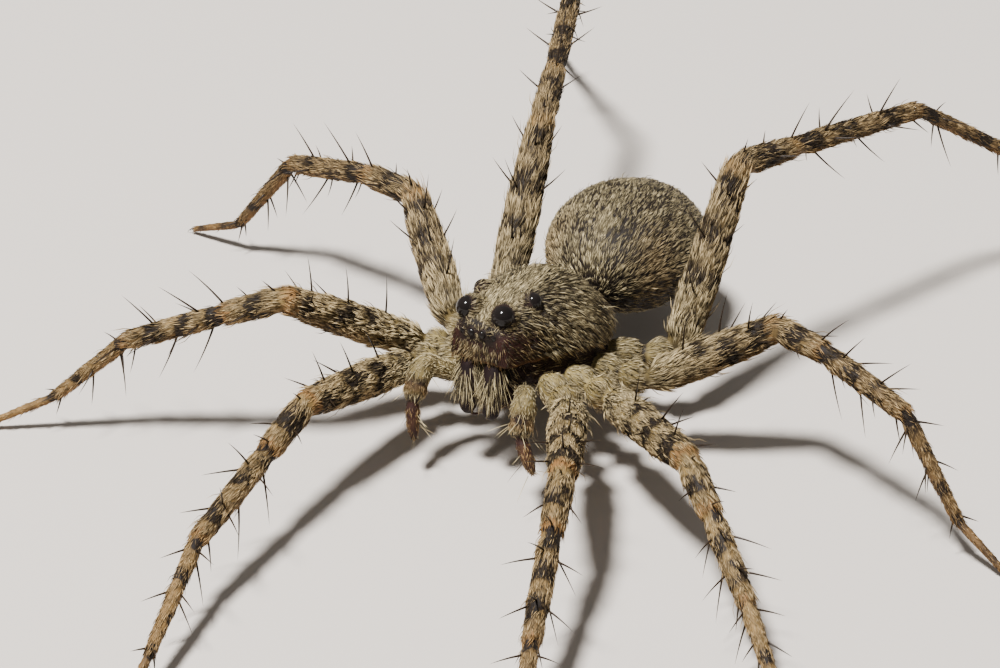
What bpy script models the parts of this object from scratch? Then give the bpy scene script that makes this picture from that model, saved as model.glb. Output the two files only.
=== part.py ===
"""Wolf spider, a still life-size model of the whole animal in its resting stance.

Run with blender --background --python part.py, or from Blender's text editor.
The head looks along -Y and the feet stand on the floor, z = 0. The named sizes
are in millimetres, and every point is scaled to metres as its mesh is made.
The body is parted where a person would name its parts, by thin cuts.
"""
import math

import bmesh
import bpy
from mathutils import Matrix, Vector

MM = 0.001
CUT = 0.05            # width of the thin cut between two neighbouring solids
LEG_SIDES = 10
PALP_SIDES = 8

# ---------------------------------------------------------------- the stance
BODY_AT = Vector((-0.30, -0.52, 1.75))   # where the three body axes meet
BODY_PITCH = 8.0                         # degrees, head raised
BODY_ROLL = 5.0                          # degrees, left side raised

SIDES = {"left": 1, "right": -1}

# Where each pair of legs leaves its hip, and where its coxa starts beside the
# sternum: out to the side, then forward, in body axes.
HIPS = {1: (1.75, 1.40), 2: (2.10, 0.60), 3: (2.20, -0.45), 4: (2.00, -1.70)}
COXA_ROOTS = {1: (0.82, 0.84), 2: (0.95, 0.34), 3: (0.97, -0.28), 4: (0.84, -0.88)}
COXA_DROP = 0.24      # how far the coxa's inner end lies below the body axes
HIP_DROP = 0.35

# Femur, patella, tibia, metatarsus and tarsus of each pair.
LEG_LENGTHS = {
    1: (3.15, 1.40, 2.45, 2.60, 1.50),
    2: (3.35, 1.20, 1.95, 1.90, 1.50),
    3: (2.70, 1.15, 2.05, 2.20, 1.35),
    4: (3.75, 1.40, 3.25, 4.75, 1.85),
}

# Each segment's heading, in degrees forward of straight out, and its rise.
STANCE = {
    ("left", 1): ((57, 11), (63, -14), (63, -16), (60, -14), (62, -24)),
    ("left", 2): ((31, 11), (34, -21), (36, -20), (40, -18), (36, -20)),
    ("left", 3): ((-28, 30), (10, 0), (11, -10), (3, -55), (7, -28)),
    ("left", 4): ((-93, 56), (-75, -5), (-75, -6), (-63, -35), (-71, -41)),
    ("right", 1): ((88, 12), (97, -11), (98, -10), (109, -17), (104, -22)),
    ("right", 2): ((63, 32), (29, -20), (31, -20), (32, -43), (37, -23)),
    ("right", 3): ((-33, 39), (-3, 2), (-4, -14), (5, -54), (0, -25)),
    ("right", 4): ((-72, 47), (-65, 15), (-61, 1), (-51, -40), (-50, -32)),
}
FOOT_HEIGHT = 0.13    # height of the middle of the tarsus at its tip

# Radii out to the coat's tips: the limb's station, as a share of its length.
COXA = ((0.0, 0.22), (0.38, 0.31), (0.56, 0.25), (0.78, 0.36), (1.0, 0.28))
FEMUR = ((0.0, 0.28), (0.14, 0.38), (0.42, 0.43), (0.80, 0.38), (1.0, 0.30))
PATELLA = ((0.0, 0.28), (0.30, 0.32), (0.75, 0.32), (1.0, 0.28))
TIBIA = ((0.18, 0.29), (0.55, 0.28), (0.88, 0.27), (1.0, 0.25))
METATARSUS = ((0.0, 0.25), (0.10, 0.26), (0.90, 0.25), (1.0, 0.25))
TARSUS = ((0.0, 0.25), (0.12, 0.25), (0.90, 0.25), (1.0, 0.24))

# ---------------------------------------------------------------- the body
# Stations along the carapace, in body axes: forward, half width, height,
# squareness of the arch.
CARAPACE = (
    (-1.85, 0.34, 0.26, 2.0),
    (-1.62, 0.64, 0.52, 1.9),
    (-1.20, 0.98, 0.97, 1.75),
    (-0.70, 1.26, 1.36, 1.8),
    (-0.15, 1.40, 1.51, 1.9),
    (0.35, 1.28, 1.48, 2.05),
    (0.75, 1.06, 1.42, 2.5),
    (1.15, 0.90, 1.36, 2.9),
    (1.50, 0.80, 1.27, 3.1),
    (1.72, 0.74, 1.13, 3.1),
    (1.86, 0.62, 0.92, 2.8),
)
EDGE = 0.20           # height of the carapace's lower edge, less at its low rear end
STERNUM = ((-1.40, 0.42, 0.36), (-1.10, 0.74, 0.56), (-0.70, 0.98, 0.66), (-0.15, 1.10, 0.68),
           (0.35, 1.03, 0.68), (0.80, 0.82, 0.62), (1.05, 0.44, 0.46))
MOUTHPARTS = ((1.12, 0.40, 0.50), (1.20, 0.46, 0.66), (1.27, 0.42, 0.62))
ARCH_STEPS = 14

ABDOMEN_CENTRE = Vector((-3.60, -0.45, 0.68))   # forward, left, up in body axes
ABDOMEN_LENGTH = 3.70
ABDOMEN_HALF_WIDTH = 1.55
ABDOMEN_HALF_HEIGHT = 1.26
ABDOMEN_SWING = 12.0      # degrees, its tail swung to the animal's right
ABDOMEN_RINGS = 13
ABDOMEN_SIDES = 20
PEDICEL = (-1.92, 0.14, 0.16)   # forward, up and radius, where it fills the waist
SPINNERET_LENGTH = 0.34
SPINNERET_RADIUS = 0.21

CHELICERA_TOP = Vector((1.60, 0.29, EDGE))
CHELICERA_TIP = Vector((1.76, 0.27, -0.93))
CHELICERA = ((0.0, 0.24), (0.20, 0.26), (0.60, 0.24), (0.90, 0.18), (1.0, 0.12))

# Eyes: forward, out to the side, up, radius.
EYES = {
    "posterior_median": (1.62, 0.41, 1.15, 0.21),
    "posterior_lateral": (0.90, 0.57, 1.26, 0.17),
    "anterior_median": (1.86, 0.12, 0.81, 0.085),
    "anterior_lateral": (1.80, 0.35, 0.78, 0.075),
}

# Palps, in body axes: root, knee, end of the tibia, tip.
PALPS = {
    "left": ((1.32, 0.68, -0.40), (2.12, 1.27, -0.03), (2.36, 1.33, -0.74), (2.46, 1.72, -1.36)),
    "right": ((1.32, -0.70, -0.38), (2.16, -0.99, 0.08), (2.46, -1.01, -0.57), (2.58, -0.88, -1.32)),
}
PALP_FEMUR = ((0.0, 0.16), (0.25, 0.22), (0.75, 0.24), (1.0, 0.22))
PALP_TIBIA = ((0.0, 0.23), (0.35, 0.285), (0.80, 0.27), (1.0, 0.20))
PALP_TARSUS = ((0.25, 0.21), (0.70, 0.17), (1.0, 0.09))

FINISHES = {
    "carapace": ((0.12, 0.09, 0.06), 0.60),
    "underside": ((0.10, 0.08, 0.05), 0.65),
    "abdomen": ((0.25, 0.22, 0.13), 0.70),
    "limb": ((0.36, 0.27, 0.15), 0.65),
    "jaw": ((0.10, 0.03, 0.02), 0.35),
    "eye": ((0.01, 0.01, 0.01), 0.08),
}


# ---------------------------------------------------------------- helpers
def clear_scene():
    for thing in list(bpy.data.objects):
        bpy.data.objects.remove(thing, do_unlink=True)


def finish(name):
    """The Principled material of one finish."""
    material = bpy.data.materials.get(name)
    if material:
        return material
    colour, roughness = FINISHES[name]
    material = bpy.data.materials.new(name)
    material.use_nodes = True
    shader = material.node_tree.nodes["Principled BSDF"]
    shader.inputs["Base Color"].default_value = (*colour, 1.0)
    shader.inputs["Roughness"].default_value = roughness
    shader.inputs["Metallic"].default_value = 0.0
    return material


def body_matrix():
    """From body axes (forward, left, up) to the model's own."""
    pitch = Matrix.Rotation(-math.radians(BODY_PITCH), 3, "X")
    roll = Matrix.Rotation(-math.radians(BODY_ROLL), 3, "Y")
    axes = Matrix(((0, 1, 0), (-1, 0, 0), (0, 0, 1)))
    return pitch @ roll @ axes


BODY_AXES = body_matrix()


def in_body(forward, left, up):
    return BODY_AT + BODY_AXES @ Vector((forward, left, up))


def add_object(name, mesh_data, finish_name):
    """Scale a bmesh to metres and make it an object, its faces outward."""
    bmesh.ops.recalc_face_normals(mesh_data, faces=mesh_data.faces)
    bmesh.ops.scale(mesh_data, vec=(MM, MM, MM), verts=mesh_data.verts)
    mesh = bpy.data.meshes.new(name)
    mesh_data.to_mesh(mesh)
    mesh_data.free()
    mesh.shade_smooth()
    mesh.set_sharp_from_angle(angle=math.radians(40))
    mesh.materials.append(finish(finish_name))
    piece = bpy.data.objects.new(name, mesh)
    bpy.context.collection.objects.link(piece)
    return piece


def loft(rings):
    """A closed body through rings of points, flat at both ends."""
    mesh_data = bmesh.new()
    rows = [[mesh_data.verts.new(point) for point in ring] for ring in rings]
    count = len(rows[0])
    for lower, upper in zip(rows, rows[1:]):
        for i in range(count):
            j = (i + 1) % count
            mesh_data.faces.new((lower[i], lower[j], upper[j], upper[i]))
    mesh_data.faces.new(reversed(rows[0]))
    mesh_data.faces.new(rows[-1])
    return mesh_data


def cutter(name, mesh_data):
    """A hidden body that a Boolean takes away from another."""
    tool = add_object(name, mesh_data, "underside")
    tool.hide_render = True
    tool.display_type = "WIRE"
    return tool


def cut_away(piece, tool):
    cut = piece.modifiers.new("cut_" + tool.name, "BOOLEAN")
    cut.operation = "DIFFERENCE"
    cut.object = tool


# ---------------------------------------------------------------- limbs
def heading_vector(side, heading, rise):
    turn = math.radians(heading)
    lift = math.radians(rise)
    out = math.cos(lift)
    return Vector((side * math.cos(turn) * out, -math.sin(turn) * out, math.sin(lift)))


def limb_ring(centre, along, across, radius, plane, sides):
    """A ring of a limb, sheared along the limb onto the plane's normal."""
    across = (across - along * across.dot(along)).normalized()
    top = across.cross(along).normalized()
    ring = []
    for i in range(sides):
        angle = 2.0 * math.pi * (i + 0.5) / sides
        radial = across * math.cos(angle) + top * math.sin(angle)
        slide = -radial.dot(plane) / along.dot(plane)
        ring.append(centre + (radial + along * slide) * radius)
    return ring


def segment_rings(start, end, stations, planes, across, sides):
    """Rings of one segment. planes holds the normals of its two end cuts,
    and each cut leaves half its width to this side."""
    along = (end - start).normalized()
    rings = []
    for share, radius in stations:
        centre = start.lerp(end, share)
        plane = along
        if share == 0.0:
            plane = planes[0]
            centre = centre + along * (CUT / 2 / along.dot(plane))
        elif share == 1.0:
            plane = planes[1]
            centre = centre - along * (CUT / 2 / along.dot(plane))
        rings.append(limb_ring(centre, along, across, radius, plane, sides))
    return rings


def mitre(before, after):
    return (before.normalized() + after.normalized()).normalized()


def hip_point(number, side):
    out, forward = HIPS[number]
    return in_body(forward, side * out, -HIP_DROP)


def leg_joints(side_name, number):
    """The hip, the four joints and the tip, the tip set to its height."""
    side = SIDES[side_name]
    joints = [hip_point(number, side)]
    for length, (heading, rise) in zip(LEG_LENGTHS[number], STANCE[side_name, number]):
        joints.append(joints[-1] + heading_vector(side, heading, rise) * length)
    joints[-1].z = FOOT_HEIGHT
    return joints


def make_leg(side_name, number, trims):
    side = SIDES[side_name]
    hip, knee, bend, ankle, heel, tip = leg_joints(side_name, number)
    out, forward = COXA_ROOTS[number]
    root = in_body(forward, side * out, -COXA_DROP)
    across = Vector((0, 0, 1)).cross(tip - hip).normalized()
    label = f"{side_name}_{number}"

    coxa_way = (hip - root).normalized()
    hip_cut = mitre(coxa_way, knee - hip)
    rings = segment_rings(root, hip, COXA, (coxa_way, hip_cut), across, LEG_SIDES)
    coxa = add_object(f"coxa_{label}", loft(rings), "limb")
    for tool in trims:
        cut_away(coxa, tool)

    knee_cut = mitre(knee - hip, bend - knee)
    rings = segment_rings(hip, knee, FEMUR, (hip_cut, knee_cut), across, LEG_SIDES)
    add_object(f"femur_{label}", loft(rings), "limb")

    bend_cut = mitre(bend - knee, ankle - bend)
    ankle_cut = mitre(ankle - bend, heel - ankle)
    rings = segment_rings(knee, bend, PATELLA, (knee_cut, bend_cut), across, LEG_SIDES)
    rings += segment_rings(bend, ankle, TIBIA, (bend_cut, ankle_cut), across, LEG_SIDES)
    add_object(f"tibia_{label}", loft(rings), "limb")

    heel_cut = mitre(heel - ankle, tip - heel)
    rings = segment_rings(ankle, heel, METATARSUS, (ankle_cut, heel_cut), across, LEG_SIDES)
    add_object(f"metatarsus_{label}", loft(rings), "limb")

    tip_cut = (tip - heel).normalized()
    rings = segment_rings(heel, tip, TARSUS, (heel_cut, tip_cut), across, LEG_SIDES)
    foot = loft(rings)
    flatten_foot(foot)
    add_object(f"tarsus_{label}", foot, "limb")


def flatten_foot(mesh_data):
    """Cut the foot off at the floor and close the flat."""
    everything = mesh_data.verts[:] + mesh_data.edges[:] + mesh_data.faces[:]
    bmesh.ops.bisect_plane(mesh_data, geom=everything, plane_co=(0, 0, 0),
                           plane_no=(0, 0, 1), clear_inner=True)
    rim = [edge for edge in mesh_data.edges if edge.is_boundary]
    bmesh.ops.holes_fill(mesh_data, edges=rim, sides=0)


def make_palp(side_name):
    root, knee, wrist, tip = [in_body(*place) for place in PALPS[side_name]]
    across = Vector((0, 0, 1)).cross(knee - root).normalized()
    knee_cut = mitre(knee - root, wrist - knee)
    planes = ((knee - root).normalized(), knee_cut)
    rings = segment_rings(root, knee, PALP_FEMUR, planes, across, PALP_SIDES)
    add_object(f"palp_femur_{side_name}", loft(rings), "limb")
    wrist_cut = mitre(wrist - knee, tip - wrist)
    rings = segment_rings(knee, wrist, PALP_TIBIA, (knee_cut, wrist_cut), across, PALP_SIDES)
    planes = (wrist_cut, (tip - wrist).normalized())
    rings += segment_rings(wrist, tip, PALP_TARSUS, planes, across, PALP_SIDES)
    add_object(f"palp_tip_{side_name}", loft(rings), "limb")


# ---------------------------------------------------------------- body parts
def arch_ring(forward, half_width, height, squareness, base):
    """An arch over its base line, or under it where the height is negative."""
    power = 2.0 / squareness
    ring = []
    for i in range(ARCH_STEPS + 1):
        angle = math.pi * i / ARCH_STEPS
        across = math.cos(angle)
        left = math.copysign(abs(across) ** power, across) * half_width
        up = base + abs(math.sin(angle)) ** power * height
        ring.append(in_body(forward, left, up))
    return ring


def carapace_body(grow):
    """The carapace, or a copy a little larger all round to trim with."""
    rings = []
    for forward, half_width, height, squareness in CARAPACE:
        reach = forward + math.copysign(grow, forward)
        edge = min(EDGE, height / 2)
        rings.append(arch_ring(reach, half_width + grow, height - edge + 2 * grow,
                               squareness, edge - grow))
    return loft(rings)


def sternum_body(grow):
    """The trunk under the carapace, a little narrower, down to the sternum."""
    rings = []
    for forward, half_width, depth in STERNUM:
        reach = forward + math.copysign(grow, forward)
        rings.append(arch_ring(reach, half_width + grow, -EDGE - depth - grow, 2.4,
                               EDGE - CUT + grow))
    return loft(rings)


def eye_ball(place, radius):
    ball = bmesh.new()
    bmesh.ops.create_uvsphere(ball, u_segments=12, v_segments=8, radius=radius)
    bmesh.ops.rotate(ball, verts=ball.verts, matrix=Matrix.Rotation(math.radians(90), 3, "X"))
    bmesh.ops.translate(ball, verts=ball.verts, vec=place)
    return ball


def make_carapace():
    """The carapace with a socket for each eye, and the eight eyes."""
    carapace = add_object("cephalothorax", carapace_body(0.0), "carapace")
    for eye_name, (forward, out, up, radius) in EYES.items():
        for side_name, side in SIDES.items():
            place = in_body(forward, side * out, up)
            add_object(f"eye_{eye_name}_{side_name}", eye_ball(place, radius), "eye")
            socket = cutter(f"socket_{eye_name}_{side_name}", eye_ball(place, radius + CUT))
            cut_away(carapace, socket)


def make_underside():
    add_object("sternum", sternum_body(0.0), "underside")
    rings = [arch_ring(forward, half_width, -depth, 2.4, -CUT)
             for forward, half_width, depth in MOUTHPARTS]
    add_object("mouthparts", loft(rings), "underside")


def make_chelicera(side_name):
    side = SIDES[side_name]
    top = in_body(CHELICERA_TOP.x, side * CHELICERA_TOP.y, CHELICERA_TOP.z)
    tip = in_body(CHELICERA_TIP.x, side * CHELICERA_TIP.y, CHELICERA_TIP.z)
    along = (tip - top).normalized()
    below = BODY_AXES @ Vector((0, 0, -1))
    across = BODY_AXES @ Vector((0, 1, 0))
    rings = segment_rings(top, tip, CHELICERA, (below, along), across, LEG_SIDES)
    add_object(f"chelicera_{side_name}", loft(rings), "jaw")


def abdomen_matrix():
    return BODY_AXES @ Matrix.Rotation(math.radians(ABDOMEN_SWING), 3, "Z")


def make_abdomen():
    """An egg, widest a little behind its middle, and its spinnerets."""
    turn = abdomen_matrix()
    middle = in_body(*ABDOMEN_CENTRE)
    rings = []
    for i in range(ABDOMEN_RINGS):
        angle = math.pi * (i + 0.6) / (ABDOMEN_RINGS + 0.2)
        back = math.cos(angle) - 0.06 * math.sin(angle) ** 2
        swell = math.sin(angle) ** 0.92
        ring = []
        for j in range(ABDOMEN_SIDES):
            around = 2.0 * math.pi * j / ABDOMEN_SIDES
            left = math.cos(around) * swell * ABDOMEN_HALF_WIDTH
            up = math.sin(around) * swell * ABDOMEN_HALF_HEIGHT
            ring.append(middle + turn @ Vector((back * ABDOMEN_LENGTH / 2, left, up)))
        rings.append(ring)
    add_object("abdomen", loft(rings), "abdomen")

    last = math.pi * (ABDOMEN_RINGS - 0.4) / (ABDOMEN_RINGS + 0.2)
    start = middle + turn @ Vector((math.cos(last) * ABDOMEN_LENGTH / 2, 0, 0))
    back = turn @ Vector((-1, 0, 0))
    stations = ((0.0, SPINNERET_RADIUS * 0.8), (0.5, SPINNERET_RADIUS), (1.0, SPINNERET_RADIUS * 0.6))
    rings = segment_rings(start + back * CUT, start + back * SPINNERET_LENGTH, stations,
                          (back, back), turn @ Vector((0, 1, 0)), PALP_SIDES)
    add_object("spinnerets", loft(rings), "abdomen")


def make_pedicel():
    """The waist, in the room between the carapace and the abdomen."""
    forward, up, radius = PEDICEL
    reach = 0.12
    rear = BODY_AXES @ Vector((-1, 0, 0))
    start = in_body(CARAPACE[0][0], 0, up) + rear * CUT / 2
    end = in_body(forward - reach, -0.03, up)
    rings = segment_rings(start, end, ((0.0, radius), (1.0, radius)), (rear, rear),
                          BODY_AXES @ Vector((0, 1, 0)), PALP_SIDES)
    add_object("pedicel", loft(rings), "underside")


def main():
    clear_scene()
    make_carapace()
    make_underside()
    trims = (cutter("carapace_trim", carapace_body(CUT)),
             cutter("sternum_trim", sternum_body(CUT)))
    for side_name in SIDES:
        make_chelicera(side_name)
        make_palp(side_name)
    make_abdomen()
    make_pedicel()
    for side_name in SIDES:
        for number in HIPS:
            make_leg(side_name, number, trims)


main()
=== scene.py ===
"""Looks of the wolf spider figure: its skin, coat, eyes, jaws, spines and stage.

The solids that the frame holds are true out to the tips of the coat. One skin
replaces all that is flesh and lies inside them by the coat's depth, and the coat
grows on it as closed, tapered blades. Sizes and places are in millimetres, in the
figure's own frame, and become metres when a mesh is made.
"""
import math

import bpy
import numpy as np
from bpy.props import FloatProperty, FloatVectorProperty, IntProperty, PointerProperty
from bpy.types import Operator, Panel, PropertyGroup
from mathutils import Matrix, Vector, noise
from mathutils.bvhtree import BVHTree
from mathutils.kdtree import KDTree


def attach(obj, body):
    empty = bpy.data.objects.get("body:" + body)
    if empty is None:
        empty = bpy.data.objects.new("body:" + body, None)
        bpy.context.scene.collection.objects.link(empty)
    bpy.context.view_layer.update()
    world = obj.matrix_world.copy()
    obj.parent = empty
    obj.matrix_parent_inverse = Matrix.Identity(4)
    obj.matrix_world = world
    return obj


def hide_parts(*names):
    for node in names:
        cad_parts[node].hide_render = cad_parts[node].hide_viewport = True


bl_info = {
    "name": "Wolf Spider Figure",
    "version": (1, 0, 0),
    "blender": (4, 5, 0),
    "location": "3D View > Sidebar > Wolf Spider",
    "description": "Skin, coat, eyes, jaws, spines and stage of a life-size wolf spider figure",
    "category": "Add Mesh",
}

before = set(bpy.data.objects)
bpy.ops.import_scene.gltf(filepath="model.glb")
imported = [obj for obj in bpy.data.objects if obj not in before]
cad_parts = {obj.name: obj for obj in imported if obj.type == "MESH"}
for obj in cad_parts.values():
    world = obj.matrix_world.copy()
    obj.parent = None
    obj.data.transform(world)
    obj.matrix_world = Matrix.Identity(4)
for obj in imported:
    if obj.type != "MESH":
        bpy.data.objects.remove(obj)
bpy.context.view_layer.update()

MM = 0.001
UP = np.array((0.0, 0.0, 1.0))
SIDES = {"left": 1, "right": -1}
PAIRS = (1, 2, 3, 4)
LEGS = [(side_name, number) for side_name in SIDES for number in PAIRS]

# ---------------------------------------------------------------- the stance
BODY_AT = np.array((-0.30, -0.52, 1.75))   # where the three body axes meet
BODY_PITCH = 8.0                           # degrees, head raised
BODY_ROLL = 5.0                            # degrees, left side raised

# Where each pair of legs leaves its hip, and where its coxa starts beside the
# sternum: out to the side, then forward, in body axes.
HIPS = {1: (1.75, 1.40), 2: (2.10, 0.60), 3: (2.20, -0.45), 4: (2.00, -1.70)}
COXA_ROOTS = {1: (0.82, 0.84), 2: (0.95, 0.34), 3: (0.97, -0.28), 4: (0.84, -0.88)}
COXA_DROP = 0.24
HIP_DROP = 0.35

# Femur, patella, tibia, metatarsus and tarsus of each pair.
LEG_LENGTHS = {
    1: (3.15, 1.40, 2.45, 2.60, 1.50),
    2: (3.35, 1.20, 1.95, 1.90, 1.50),
    3: (2.70, 1.15, 2.05, 2.20, 1.35),
    4: (3.75, 1.40, 3.25, 4.75, 1.85),
}

# Each segment's heading, in degrees forward of straight out, and its rise.
STANCE = {
    ("left", 1): ((57, 11), (63, -14), (63, -16), (60, -14), (62, -24)),
    ("left", 2): ((31, 11), (34, -21), (36, -20), (40, -18), (36, -20)),
    ("left", 3): ((-28, 30), (10, 0), (11, -10), (3, -55), (7, -28)),
    ("left", 4): ((-93, 56), (-75, -5), (-75, -6), (-63, -35), (-71, -41)),
    ("right", 1): ((88, 12), (97, -11), (98, -10), (109, -17), (104, -22)),
    ("right", 2): ((63, 32), (29, -20), (31, -20), (32, -43), (37, -23)),
    ("right", 3): ((-33, 39), (-3, 2), (-4, -14), (5, -54), (0, -25)),
    ("right", 4): ((-72, 47), (-65, 15), (-61, 1), (-51, -40), (-50, -32)),
}
FOOT_HEIGHT = 0.085   # height of the middle of the tarsus at its tip

# ---------------------------------------------------------------- the limbs
SEGMENTS = ("coxa", "femur", "patella", "tibia", "metatarsus", "tarsus")

# Radius of the skin along each segment: share of the segment's length, radius.
LEG_SKIN = {
    "coxa": ((0.0, 0.18), (0.25, 0.26), (0.42, 0.27), (0.56, 0.15), (0.70, 0.30), (0.84, 0.30),
             (0.97, 0.17)),
    "femur": ((0.02, 0.17), (0.10, 0.285), (0.38, 0.335), (0.72, 0.30), (0.95, 0.255)),
    "patella": ((0.03, 0.215), (0.20, 0.235), (0.70, 0.225), (0.95, 0.200)),
    "tibia": ((0.02, 0.170), (0.14, 0.195), (0.60, 0.190), (0.94, 0.170)),
    "metatarsus": ((0.02, 0.130), (0.10, 0.145), (0.70, 0.120), (0.96, 0.105)),
    "tarsus": ((0.03, 0.080), (0.15, 0.088), (0.80, 0.070), (1.0, 0.060)),
}
PALP_SKIN = {
    "femur": ((0.0, 0.14), (0.30, 0.17), (0.90, 0.19)),
    "tibia": ((0.02, 0.18), (0.22, 0.235), (0.40, 0.225), (0.49, 0.185), (0.58, 0.215),
              (0.80, 0.215), (0.95, 0.14)),
    "tarsus": ((0.02, 0.095), (0.18, 0.135), (0.60, 0.125), (1.0, 0.06)),
}
BEND = 0.34           # length over which a joint's corner is rounded
RING_SPACING = 0.055
LEG_COLUMNS = 26      # columns round a form
PALP_COLUMNS = 22
TUBE_RINGS = 14
TUBE_COLUMNS = 16

# Dark bands of each segment: middle and half width as shares of its length, then
# darkness, which may pass 1 because broken edges and noise take some away.
LEG_BANDS = {
    "coxa": ((0.56, 0.05, 0.8), (0.98, 0.04, 0.8)),
    "femur": ((0.18, 0.045, 0.6), (0.40, 0.055, 1.2), (0.62, 0.07, 1.4), (0.85, 0.07, 1.4)),
    "patella": ((0.42, 0.20, 1.0),),
    "tibia": ((0.07, 0.08, 1.2), (0.38, 0.08, 1.1), (0.70, 0.10, 1.1)),
    "metatarsus": ((0.04, 0.05, 1.05), (0.36, 0.06, 0.85), (0.66, 0.06, 0.85), (0.96, 0.04, 0.9)),
    "tarsus": ((0.02, 0.05, 0.5),),
}
# The thinly haired ochre ring at the far end of these segments: its length.
LEG_RINGS = {"femur": 0.055, "patella": 0.13, "tibia": 0.05}
# Each pair of legs: how dark it is between its bands, how far its hair takes the
# segments' ochre, and how much more ochre its thinly haired rings are.
PAIR_HAIR = {1: (0.13, 1.0, 0.55), 2: (0.10, 0.9, 0.50), 3: (0.26, 1.0, 0.30),
             4: (0.30, 1.0, 0.15)}
# Each segment: how ochre its hair is, the length of the blades in millimetres, and
# their angle from the skin in degrees.
LEG_HAIR = {"coxa": (0.08, 0.19, 17.0), "femur": (0.36, 0.27, 11.0),
            "patella": (0.50, 0.24, 10.0), "tibia": (0.56, 0.23, 10.0),
            "metatarsus": (0.66, 0.18, 10.0), "tarsus": (0.80, 0.11, 10.0)}

# Spines of each segment: share of its length, degrees round from the top,
# length in millimetres, degrees from the limb's own line.
LEG_SPINES = {
    "femur": ((0.34, 8, 0.80, 62), (0.60, -6, 0.86, 64), (0.84, 10, 0.78, 64),
              (0.62, 62, 0.60, 52), (0.86, 70, 0.55, 50), (0.64, -64, 0.60, 52),
              (0.88, -68, 0.55, 50)),
    "patella": ((0.10, 0, 0.34, 66), (0.92, 4, 0.78, 66), (0.55, 80, 0.50, 54),
                (0.55, -80, 0.50, 54)),
    "tibia": ((0.22, 6, 0.86, 68), (0.66, -6, 0.90, 66), (0.26, 78, 0.66, 56),
              (0.68, 80, 0.66, 56), (0.26, -78, 0.66, 56), (0.68, -80, 0.66, 56),
              (0.14, 155, 0.90, 56), (0.14, 205, 0.90, 56), (0.50, 155, 0.92, 54),
              (0.50, 205, 0.92, 54), (0.94, 150, 0.52, 46), (0.94, 210, 0.52, 46)),
    "metatarsus": ((0.10, 70, 0.60, 52), (0.10, -70, 0.60, 52), (0.12, 155, 0.80, 52),
                   (0.12, 205, 0.80, 52), (0.46, 84, 0.50, 48), (0.46, -84, 0.50, 48),
                   (0.50, 155, 0.60, 50), (0.50, 205, 0.60, 50), (0.96, 60, 0.34, 42),
                   (0.96, -60, 0.34, 42), (0.96, 150, 0.34, 42), (0.96, 210, 0.34, 42)),
}
SPINE_RADIUS = 0.019

# ---------------------------------------------------------------- the body
# The skin of the carapace, in body axes: forward, half width, height, squareness.
CARAPACE = (
    (-1.80, 0.29, 0.18, 2.0),
    (-1.60, 0.57, 0.44, 1.9),
    (-1.20, 0.90, 0.89, 1.75),
    (-0.70, 1.18, 1.28, 1.8),
    (-0.15, 1.32, 1.43, 1.9),
    (0.35, 1.20, 1.40, 2.05),
    (0.75, 0.99, 1.35, 2.5),
    (1.15, 0.83, 1.29, 2.9),
    (1.50, 0.73, 1.20, 3.1),
    (1.70, 0.67, 1.06, 3.1),
    (1.80, 0.60, 0.95, 2.8),
)
EDGE = 0.22           # height of the carapace's lower edge, less at its low rear end
CARAPACE_ROUNDING = 0.24
FACE_BULGE = 0.06
REAR_BULGE = 0.06
FOVEA_DEPTH = 0.07
CARAPACE_COLUMNS = 60
TRUNK_COLUMNS = 40
DOME_RINGS = 9        # rings of the shallow domes that end the carapace and trunk
DOME_MIDDLE = 0.45    # height that the domes close at, of the arch's
TRUNK_SHARE = 0.90    # width of the trunk under the carapace, of the carapace's own
TRUNK_SQUARENESS = 2.4
TRUNK_BULGES = (0.05, 0.05)
STERNUM = ((-1.32, 0.36, 0.30), (-1.05, 0.66, 0.50), (-0.70, 0.90, 0.60), (-0.15, 1.02, 0.62),
           (0.35, 0.96, 0.62), (0.80, 0.74, 0.56), (1.10, 0.42, 0.56), (1.22, 0.34, 0.54))

ABDOMEN_CENTRE = (-3.60, -0.45, 0.68)   # forward, left, up in body axes
ABDOMEN_LENGTH = 3.56
ABDOMEN_HALF_WIDTH = 1.49
ABDOMEN_HALF_HEIGHT = 1.19
ABDOMEN_SWING = 12.0      # degrees, its tail swung to the animal's right
ABDOMEN_GRID = (72, 96)   # rows and columns
PEDICEL_RADIUS = 0.14
SPINNERET_LENGTH = 0.34
SPINNERET_RADIUS = 0.085
SPINNERET_COLUMNS = 14
# Pairs of spinnerets from the abdomen's middle: back, out, down, share of the length.
SPINNERETS = ((1.60, 0.13, 0.16, 1.0), (1.68, 0.07, 0.02, 0.7), (1.66, 0.12, -0.14, 0.9))

# Each jaw, in body axes, and its radius along it.
CHELICERA_TOP = (1.56, 0.28, 0.30)
CHELICERA_TIP = (1.76, 0.26, -0.87)
JAW_ROWS = 48
JAW_COLUMNS = 36
CHELICERA = ((0.0, 0.16), (0.14, 0.21), (0.40, 0.23), (0.70, 0.20), (0.92, 0.14), (1.0, 0.11))

# Eyes: forward, out to the side, up, radius.
EYES = {
    "posterior_median": (1.62, 0.41, 1.15, 0.205),
    "posterior_lateral": (0.90, 0.57, 1.26, 0.165),
    "anterior_median": (1.86, 0.12, 0.81, 0.080),
    "anterior_lateral": (1.80, 0.35, 0.78, 0.070),
}
MOUND = 1.16          # radius of the swelling round an eye, of the lens's
MOUND_GRID = (20, 24)
LENS_ROWS = 33
LENS_COLUMNS = 48
COLLAR_COLUMNS = 10
EYE_DEPTHS = (0.012, 0.009, 0.008, 1.0)   # lighter clouds in the black of a lens
# The way each lens faces: forward, out, up.
EYE_AXES = {
    "posterior_median": (0.80, 0.42, 0.36),
    "posterior_lateral": (-0.25, 0.85, 0.45),
    "anterior_median": (1.0, 0.12, 0.0),
    "anterior_lateral": (0.90, 0.42, -0.05),
}

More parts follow.
